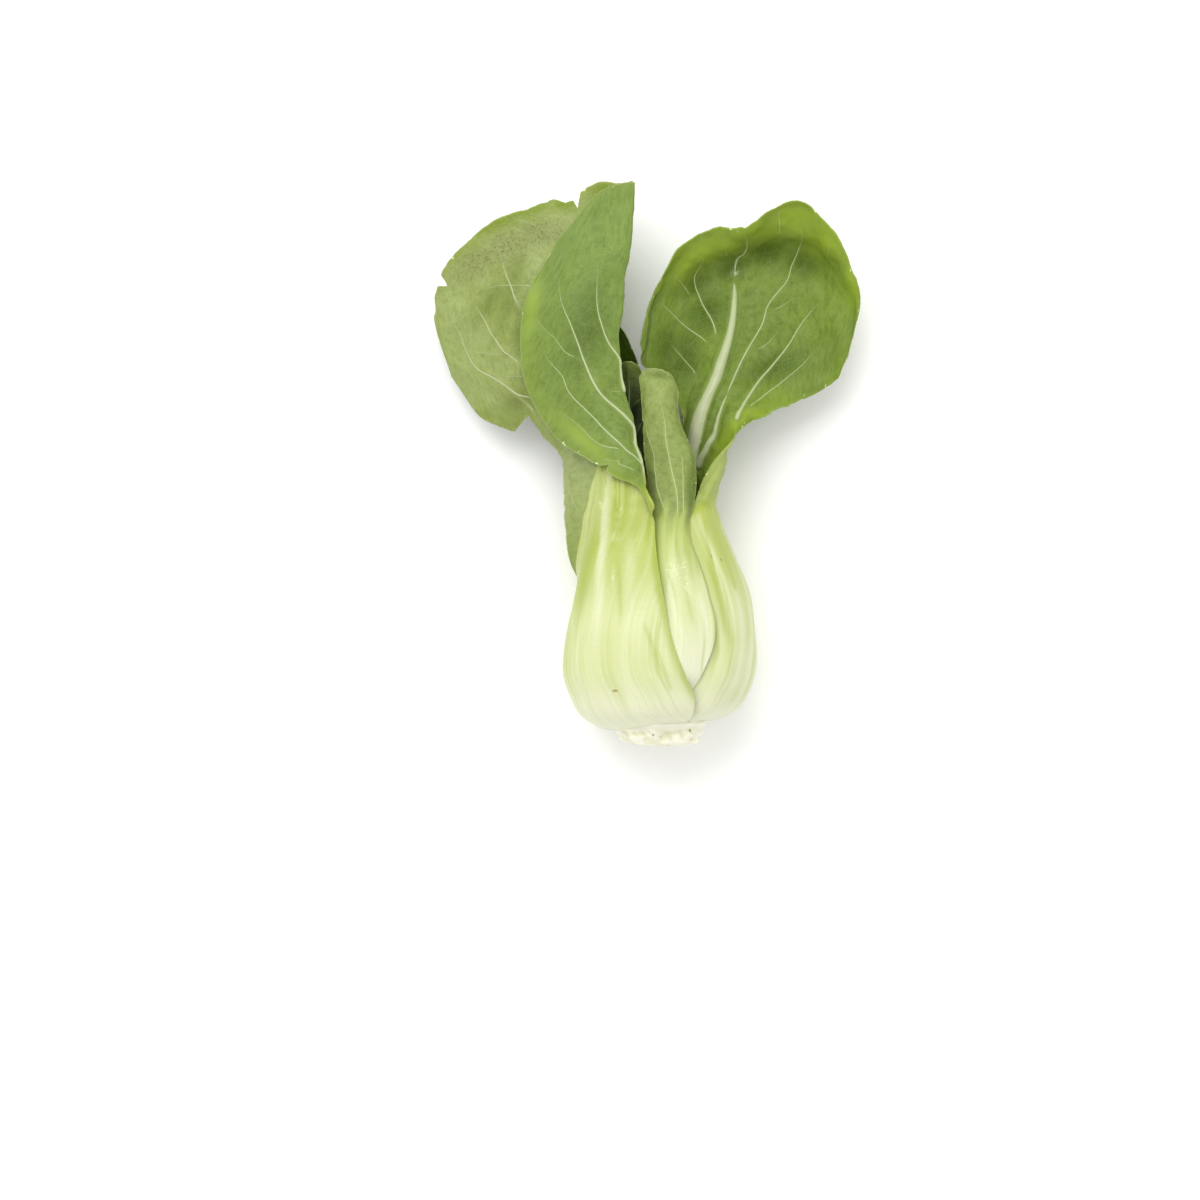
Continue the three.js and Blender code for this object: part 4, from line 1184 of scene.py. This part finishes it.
leafThree = dict(
    # outer leaf at the right, its inner face open upwards
    columns=7, seam=8.7, midrib=(0.5, 0.14, 0.04), ribs=4, greens=(8.1, 10.0),
    sideGap=7, sideLength=8, fine=(190, 76, 144), seed=3,
    thick=dict(base=4, belly=6, bellyEnd=4, neck=2.4),
    wave=dict(height=0.5, alongV=0.8, acrossU=3, phase=2),
    sunkEdges=[("to", 0.8, 2.5, 4.5, 8.5)],
    stalk=dict(
        first=0, tuckFrom=(3.0, 0.13), tuckTo=(4.8, 0.34),
        edges=[(69, -24)] * 4 + [(65, -25), (59, -26), (59, -28), (59, -32), (57, -38)],
    ),
    # from the right edge, over the midrib to the left edge
    grid=[
        [(15.5, -12, 38.2), (19, -14, 37), (21, -14.5, 31), (20.5, -13.5, 25), (19, -13, 21),
         (16.5, -12.5, 18.5), (14, -11.5, 17.5)],
        [(19.5, -3, 40), (24, -2.5, 34.5), (23, -1, 27), (16.5, -1, 21), (13, 0.5, 19), (11, 1.5, 20),
         (9.5, 2, 22)],
        [(28.5, 8.5, 32), (27.5, 12.5, 27.5), (22.5, 14, 23.5), (17, 12.5, 20.5), (14, 15.5, 21),
         (12, 15, 24), (11.5, 13, 27)],
        [(40.5, 15, 24), (34.5, 25, 20), (28, 30, 18.5), (23, 28.5, 18.5), (17.5, 31.5, 20),
         (13, 25.5, 21), (7, 21.5, 24)],
        [(53.5, 20.5, 19), (50.5, 36.5, 17), (38.5, 47.5, 16.5), (28, 49, 16), (16, 49, 18),
         (6.5, 41, 21), (0.2, 28, 23)],
        [(61, 26, 19), (62, 47.5, 20), (50.5, 66, 17), (29, 63, 15), (15.5, 61, 18), (3, 47.5, 22),
         (-2, 32, 23.5)],
        [(64, 34, 21), (67.5, 55.5, 24), (50, 81.2, 27), (31, 74.5, 25), (15, 70.5, 24), (2.5, 54.5, 25),
         (-1.5, 37.5, 25)],
    ],
    traced=[
        (6.2, 1.2, [(15.5, 2), (16.2, 11.1), (18.8, 19.4), (23.6, 31.6), (26.5, 40.8), (28.1, 51.1),
            (28.1, 58.4)]),
        (1.2, 0.35, [(28.1, 57.5), (29, 64.8), (31.6, 67.4), (32.2, 70.9), (30.9, 77)]),
        (3.2, 1.2, [(17.2, 0.2), (20.4, 6.3), (22.3, 11.1), (26.1, 22.6)]),
        (1.25, 0.3, [(25.7, 21.4), (29, 30), (32.5, 37), (37, 44.7), (38.9, 50.8), (44.7, 58.4),
            (46.3, 63.6), (48.5, 68.4), (50.2, 73.8), (49.2, 80.2)]),
        (1.6, 0.3, [(29, 14.9), (33.5, 23.2), (38, 29), (43.8, 36), (48.2, 42.8), (51.8, 47.9),
            (56.5, 52.7)]),
        (1.1, 0.3, [(22.6, 39.9), (21.4, 45.3), (17.8, 52), (15.9, 59.1), (17.2, 63.6), (17.8, 67.4)]),
        (0.9, 0.25, [(21, 36.7), (15.3, 42.4), (9.5, 47.2), (4.1, 52)]),
        (0.8, 0.25, [(15.9, 26.8), (13, 32.5), (7.9, 38.3)]),
        (0.6, 0.25, [(15.3, 51.7), (8.2, 60)]),
        (0.6, 0.3, [(42.2, 71.6), (42.5, 77.3), (42.2, 82.1)]),
        (0.6, 0.2, [(38.9, 48.5), (42.8, 50.4), (47.9, 53.6)]),
        (0.6, 0.2, [(33.2, 36.4), (37, 37.6), (40.2, 40.2), (42.8, 44)]),
        (0.5, 0.25, [(57.5, 64.5), (60.1, 70.9)]),
        (0.5, 0.25, [(26.8, 66.4), (25.5, 67.7), (24.2, 73.5)]),
        (0.9, 0.2, [(31.6, 16.8), (39.6, 23.6), (49.2, 31.2), (54, 37)]),
    ],
    streaks=[
        ([(17.8, -14.5), (21, -32.4), (24.2, -45.2), (26.5, -56.1), (24.9, -72.1)], 1.8, 0.65),
        ([(18.5, -14.5), (22.6, -33.1), (27.1, -44.6), (30, -62.5)], 1.5, -0.55),
        ([(20.1, -12.9), (25.5, -31.2), (30.6, -46.5), (33.2, -64.1)], 1.2, 0.45),
        ([(23.6, -76.9), (31.3, -67.3), (33.8, -49.7)], 3.6, -0.9),
        ([(24.2, -30.5), (29.4, -43.3), (31.9, -59.3), (29.4, -75.3)], 2.2, -0.6),
        ([(17.8, -36.9), (21, -48.1), (22.9, -59.3), (19.8, -68.9), (15.3, -72.1)], 1.4, 0.55),
    ],
    nicks=[("tip", 31.3, 77.8, 1.6, 0.9)],
    bulges=[
        ("tip", 38, 80.8, 4, 0.8), ("tip", 23.3, 76, 5, 0.8), ("tip", 8, 67, 10, 2.2),
        ("tip", 63.9, 73.2, 10, 1.3),
    ],
    creases=[
        ([(38.9, 16.2), (32.2, 15.6), (28.1, 11.4), (24.9, 4.7), (21.7, -3),
            (18.5, -11.3)], 1.5, -1.1, 0, 0.5),
        ([(33.8, 13), (27.8, 7.6), (23.3, 0.8), (19.8, -5.6), (17.5, -9.4)], 0.9, 0.9, 0, 0.5),
        ([(28.7, 62.3), (27.8, 60.7), (26.5, 60)], 0.4, 0.5),
    ],
    # hollows and swellings: place, radius, depth away from the camera
    swells=[
        (17.2, 57.8, 5.5, 1.8), (27.8, 62.9, 5.5, 1.9), (38.9, 67.1, 6, 2.2), (50.5, 64.8, 7, 2.2),
        (9.5, 62.9, 5, -1), (17.2, 67.4, 5, -1.5), (26.1, 70, 4.5, -1.7), (34.8, 72.5, 4.5, -1.8),
        (43.8, 75.7, 4.5, -1.8), (51.8, 75.1, 4.5, -1.7), (59.4, 69.3, 4.5, -1.4), (63.9, 60.4, 5, -1),
        (16.5, 43, 7, 0.8),
    ],
    stain=[(21, -29.5, 0.35, 0.6, 20), (24, -30.5, 0.3, 0.6, -30)],
    scuff=[(28.4, 61.3, 1.3, 0.6, 30)],
    # painted shade in the hollows and on the walls that face away from the light
    shade=[
        (16.2, 57.5, 7, 3.5, 30), (27.8, 62.9, 6, 3, 25), (38.9, 67.4, 8, 3.6, 12),
        (49.8, 64.8, 8, 4.4, -20), (22.6, 27.1, 2.2, 12, -25, 0, 0.5), (10.8, 32.8, 3.5, 9, -25, 0.6, 1),
        (7, 36.7, 5, 9, 0, 0.6, 1), (12.7, 36, 5, 9, 0, 0.5, 1), (5.7, 29.6, 6, 8, 0, 0.5, 1),
        (19.1, 48.8, 6, 7, -20), (40.2, 30.9, 12, 4.5, 20, 0, 0.5), (38, 68.7, 8, 3, 15),
    ],
    # painted highlights on the rims and rises that face the light, and along the neck
    light=[
        (37, 75.7, 11, 4, 12), (57.5, 72.5, 8, 4, -50), (66.5, 57.5, 3, 8, 0), (47.6, 80.2, 9, 4, 0),
        (21, 70, 9, 3.6, 20), (12.7, 64.8, 4, 8, -35), (20.1, -6.5, 3.5, 9, -20, 0, 0.45),
        (25.2, 7.2, 3, 7, -35, 0, 0.3), (24.2, 70.9, 9, 3.4, 12), (17.8, 68, 7, 4, 30),
        (46, 78.6, 10, 4.5, -5), (55.6, 71.9, 7, 5, -35), (31.6, 16.5, 4, 1.1, 12, 0, 0.45),
        (27.8, 12.4, 1.6, 4, -30, 0, 0.4), (24.2, 5.6, 1.6, 5, -20, 0, 0.4),
        (21.7, -1.7, 1.8, 5, -15, 0, 0.45), (35.8, 16.5, 5, 1.1, 0, 0, 0.4),
        (30.3, 14.6, 3, 1.3, 35, 0, 0.4), (26.1, 7.9, 1.7, 4, -25, 0, 0.4),
        (23.3, 2.1, 1.7, 4, -25, 0, 0.4), (19.8, -5.6, 2, 5, -25, 0, 0.45),
    ],
)

leafFour = dict(
    # outer leaf at the back left, its blade flat under the first
    seam=9, midrib=(0.5, 0.14, 0.05), ribs=4, greens=(8.4, 9.6), sideGap=7,
    sideLength=6, fine=(100, 70, 90), seed=4,
    thick=dict(base=4, belly=6, bellyEnd=4, neck=2.4),
    wave=dict(height=0.4, alongV=0.8, acrossU=2, phase=1),
    mainVeins=dict(count=6, wide=2.2, length=26, bend=0.006),
    stalk=dict(
        first=0, tuckFrom=(4.8, 0.4),
        edges=[(295, 202)] * 4 + [(294, 201), (294, 201), (293, 201), (292, 203), (288, 208)],
    ),
    arcs=[
        (-5.5, -8, 9, 11, 182, -50, 0), (-11, 6, 4.5, 14.5, 182, -30, 0),
        (-20.5, 23, 1.2, 19.5, 181, -14, 2), (-27, 40, 0.3, 24, 180, -16, 7),
        (-31, 55, 2, 21, 180, -14, 10), (-33, 64, 3.5, 10, 180, -10, 5),
    ],
)

leafFive = dict(
    # heart leaf between the first and the second
    seam=6.2, midrib=(0.5, 0.16, 0.06), ribs=3, greens=(5.4, 6.8), sideGap=6,
    sideLength=4, fine=(72, 44, 56), seed=5,
    thick=dict(base=2.5, belly=4, bellyEnd=2, neck=1.6),
    wave=dict(height=0.2, alongV=0.8, acrossU=2, phase=1),
    mainVeins=dict(count=4, wide=1.2, length=12, bend=0.01),
    stalk=dict(
        first=3,
        edges=[(182, 100, 9.5), (182, 98, 9.5), (180, 97, 10), (176, 96, 10.5), (172, 92, 10.5),
            (168, 86, 9.5)],
    ),
    arcs=[
        (-4, -10, 32, 9, 12, -70, 0), (-5, 8, 31, 9, 14, -50, 0),
        (-5.5, 21, 29.5, 7.5, 12, -40, 1.5), (-6, 31, 28, 3.5, 10, -30, 1.5),
    ],
    # painted shade on its body between the leaves
    shade=[(-4.6, 16.8, 5, 9, 0), (-4.6, 7.9, 5, 9, 0)],
)

leafSix = dict(
    # outer leaf at the back right, its blade flat under the third
    leafFour,
    midrib=(0.5, 0.16, 0.05), ribs=3, fine=(96, 70, 90), seed=6,
    thick=dict(base=4, belly=5.5, bellyEnd=4, neck=2.2),
    wave=dict(height=0.4, alongV=0.8, acrossU=2, phase=2),
    mainVeins=dict(count=6, wide=2.2, length=24, bend=0.006),
    stalk=dict(first=0, edges=[(346, 284)] * 5 + [(344, 284), (342, 284), (338, 284), (332, 284)]),
    arcs=[
        (11, -9, 7.5, 7.5, 194, -50, 0), (18.5, 5, 4.5, 7.4, 190, -30, 0),
        (27, 20, 2.2, 12.5, 184, -16, 1), (33, 38, 0.3, 23, 181, -14, 6),
        (37.5, 53, 2, 20, 180, -12, 9), (39.5, 63, 3.5, 10, 180, -10, 5),
    ],
)

leafSeven = dict(
    # inner leaf at the back, under the heart leaves
    leafFive,
    greens=(5.6, 6.8), fine=(72, 40, 56), seed=7,
    thick=dict(base=2.5, belly=4.5, bellyEnd=2, neck=1.8),
    wave=dict(height=0.2, alongV=0.8, acrossU=2, phase=2),
    mainVeins=dict(count=4, wide=1.3, length=12, bend=0.01),
    stalk=dict(
        first=3,
        edges=[(312, 216, 9), (312, 214, 9.5), (312, 212, 9.5), (310, 212, 8.5), (306, 212, 7.5),
            (300, 214, 6)],
    ),
    arcs=[
        (-3, -8, 16.5, 9, 180, -60, 0), (-8, 8, 13.5, 11, 180, -40, 0),
        (-13, 22, 12, 10, 180, -30, 2), (-16, 32, 12.5, 5, 180, -20, 2),
    ],
    shade=[],
)

leafEight = dict(
    # youngest heart leaf, in the middle of the neck
    seam=5.2, midrib=(0.5, 0.18, 0.08), ribs=2, greens=(4.6, 5.8), sideGap=5,
    sideLength=3, fine=(56, 34, 40), seed=8,
    thick=dict(base=2, belly=3, bellyEnd=1.5, neck=1.4),
    wave=dict(height=0.15, alongV=0.8, acrossU=1, phase=0),
    mainVeins=dict(count=3, wide=0.9, length=6, bend=0.01),
    stalk=dict(
        first=4,
        edges=[(50, -30, 13), (50, -30, 13), (50, -30, 11.5), (48, -30, 10.5), (46, -30, 9.5)],
    ),
    arcs=[
        (8, -10, 27, 5, -40, -60, 0), (6, 3, 26, 4.5, -5, -50, 0),
        (5, 12, 26.5, 3.5, -5, -40, 1), (4.5, 18, 27, 2, -5, -30, 1),
    ],
)

leaves = [
    ("leaf_1", leafOne, palePaint, "blade_pale"),
    ("leaf_2", leafTwo, heartPaint, "blade_pale"),
    ("leaf_3", leafThree, openPaint, "blade_green"),
    ("leaf_4", leafFour, darkShadedPaint, "blade_dark"),
    ("leaf_5", leafFive, deepShadePaint, "blade_pale"),
    ("leaf_6", leafSix, darkShadedPaint, "blade_dark"),
    ("leaf_7", leafSeven, deepShadePaint, "blade_dark"),
    ("leaf_8", leafEight, deepShadePaint, "blade_pale"),
]

for name, leaf, look, slotName in leaves:
    leaf["rows"] = knotRows(leaf)
    measureEdges(leaf)
    plantVeins(leaf)
    sheet = leafMesh(leaf, name + "_sheet", leafPaint(name + "_flesh", look))
    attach(sheet, "root")
    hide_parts(name + "_stalk", name + "_blade")
    ridgeLook = dict(look, soft=0.0, bladeSoft=0.0)
    veins = veinMesh(leaf, name + "_veins", leafPaint(name + "_vein_tone", ridgeLook))
    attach(veins, "root")
    print(name, len(sheet.data.polygons), "faces,", len(leaf["veins"]), "veins")


stub = {
    "profile": [  # radius at each y
        (0.01, -91.2), (4, -91.2), (7, -91.1), (9.6, -90.9), (11.2, -90.2), (12.1, -89.1), (12.7, -87.6),
        (13.2, -86.2), (14.2, -84.9), (15.4, -83.9), (14.5, -81.5), (10.5, -77.5), (7, -72), (3, -68),
        (0.01, -67),
    ],
    "middle": (3.2, 26.7),
    "lean": 1.0,  # how far its cut end stands to the right
    "around": 180,
    "steps": 110,
    "chips": 0.8,  # depth of the chips in the cut face
    "chipSize": 7.0,
    "lumps": 0.75,  # height of the lumps and scars round it
    "lumpSize": 5.5,
    "scars": 0.35,
    "scarSize": 2.2,
    "specks": [(6.6, -81.4), (14, -84.9), (14, -85.2), (2.2, -86.5), (-11, -83)],
    "flesh": "#eeecda",
    "fleshDeep": "#e4e2cd",
    "grain": "#ddd9bd",
    "hollow": "#d6d1a8",
    "scar": "#85743a",
    "speck": "#858038",
}


def stubPaint():
    paint = Paint("stub_flesh")
    where = paint.node("TexCoord").outputs["Object"]
    soft = paint.noise(where, 160.0, 3.0, 0.55)
    fine = paint.noise(where, 900.0, 3.0, 0.6)
    hollow = paint.value("hollow")
    scars = paint.ramp(paint.noise(where, 380.0, 2.0, 0.7), 0.66, 0.74)
    scars = paint.both(scars, paint.ramp(hollow, 0.2, 0.6))
    colour = paint.layers(stub["flesh"], stub, [
        ((soft, 0.35, 0.65), "fleshDeep"),
        ((fine, 0.4, 0.75, 0.0, 0.3), "grain"),
        ((hollow, 0.35, 0.95, 0.0, 0.5), "hollow"),
        (paint.both(scars, 0.75), "scar"),
        ((paint.value("speck"), 0.3, 0.8, 0.0, 0.8), "speck"),
    ])
    return paint.finish(
        colour, 0.55, paint.bump(fine, 0.00025, 0.4), 0.3,
        Subsurface_Radius=(1.0, 0.9, 0.6),
        Subsurface_Scale=0.0012,
    )


def stubMesh():
    around, steps = stub["around"], stub["steps"]
    profile = np.array(stub["profile"])
    line = knotWeights(len(profile), np.linspace(0, len(profile) - 1, steps)) @ profile
    line[:, 0] = np.maximum(line[:, 0], 0.01)
    turn = np.linspace(0, 2 * math.pi, around, endpoint=False)
    gridTurn, gridY = np.meshgrid(turn, line[:, 1])
    radius = np.repeat(line[:, 0], around)
    turn, y = gridTurn.ravel(), gridY.ravel()
    onStub = 1 - smooth(-87, -84.5, y)
    points = np.stack([radius * np.cos(turn), y, radius * np.sin(turn)], axis=1)
    waves = 0.06 * np.sin(3 * turn + 1) + 0.04 * np.sin(7 * turn)
    rough = ripples(points, stub["lumpSize"], 91, 24)
    fine = ripples(points, stub["scarSize"], 92, 24)
    chips = ripples(points, stub["chipSize"], 93, 24)
    outwards = stub["lumps"] * rough + stub["scars"] * fine
    grown = radius * (1 + waves * onStub) + outwards * onStub * smooth(3, 10, radius)
    x = stub["middle"][0] + grown * np.cos(turn) + stub["lean"] * (1 - smooth(-91, -85, y))
    z = stub["middle"][1] + grown * np.sin(turn)
    cut = 1 - smooth(-90.9, -89, y)
    y = y + stub["chips"] * (0.5 + 0.5 * chips) * cut + 0.25 * (1 + fine) * cut
    points = np.clip(np.stack([x, y, z], axis=1) + placing, boxLow, boxHigh)
    cell = np.arange(around * steps).reshape(steps, around)
    after = np.roll(cell, -1, axis=1)
    faces = np.stack([cell[:-1], cell[1:], after[1:], after[:-1]], axis=-1).reshape(-1, 4).tolist()
    faces.append(cell[0].tolist())
    faces.append(cell[-1][::-1].tolist())
    piece = makePiece("stub_flesh_piece", points, faces, stubPaint())
    setValues(piece, "hollow", np.clip(0.5 - 0.6 * rough - 0.4 * fine, 0, 1) * onStub)
    speck = np.zeros(len(points))
    flat = seen(points)
    for place in stub["specks"]:
        speck = np.maximum(speck, np.exp(-(lengthOf(flat - np.array(place)) / 0.5) ** 2))
    setValues(piece, "speck", speck)
    return piece


stubPiece = stubMesh()
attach(stubPiece, "root")
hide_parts("stem_base")
print("stub", len(stubPiece.data.polygons), "faces")


stage = {  # lengths in metres
    "floorSize": 6.0,
    "floorHeight": -0.0002,
    "floorTone": "#fbfbfa",
    "floorSpeck": "#f9f9f8",
    "skyTone": (1.0, 1.0, 1.0),
    "skyStrength": 1.0,
    "keyPower": 31.0,
    "keySize": 1.6,
    "keyPlace": (-0.4, 1.15, 1.7),
    "lens": 281.25,  # in millimetres
}


def floorPaint():
    paint = Paint("floor_board")
    where = paint.node("TexCoord").outputs["Object"]
    speck = paint.noise(where, 60.0, 2.0, 0.5)
    colour = paint.layers(stage["floorTone"], stage, [((speck, 0.3, 0.7, 0.0, 0.5), "floorSpeck")])
    return paint.finish(colour, 0.85, paint.bump(speck, 0.0001, 0.05))


half = stage["floorSize"] / 2
floorMesh = bpy.data.meshes.new("floor")
corners = [(x * half, y * half, stage["floorHeight"]) for x, y in ((-1, -1), (1, -1), (1, 1), (-1, 1))]
floorMesh.from_pydata(corners, [], [(0, 1, 2, 3)])
floorMesh.materials.append(floorPaint())
addObject("floor", floorMesh)

scene = bpy.context.scene
world = bpy.data.worlds.new("studio")
world.use_nodes = True
background = world.node_tree.nodes["Background"]
background.inputs["Color"].default_value = (*stage["skyTone"], 1.0)
background.inputs["Strength"].default_value = stage["skyStrength"]
scene.world = world

keyData = bpy.data.lights.new("key", "AREA")
keyData.shape = "SQUARE"
keyData.size = stage["keySize"]
keyData.energy = stage["keyPower"]
key = addObject("key", keyData)
key.location = stage["keyPlace"]
aim = np.array([0, 0, 0]) - np.array(stage["keyPlace"])
key.rotation_euler = (
    math.pi / 2 + math.atan2(aim[2], math.hypot(aim[0], aim[1])),
    0,
    math.atan2(aim[1], aim[0]) - math.pi / 2,
)

cameraData = bpy.data.cameras.new("camera")
cameraData.lens = stage["lens"]
cameraData.sensor_width = 36
cameraData.clip_start = 0.1
cameraData.clip_end = 20
camera = addObject("camera", cameraData)
camera.location = (eye * metre).tolist()
camera.rotation_euler = (0, 0, 0)
scene.camera = camera
scene.view_settings.view_transform = "Standard"
print("floor, light and camera set")
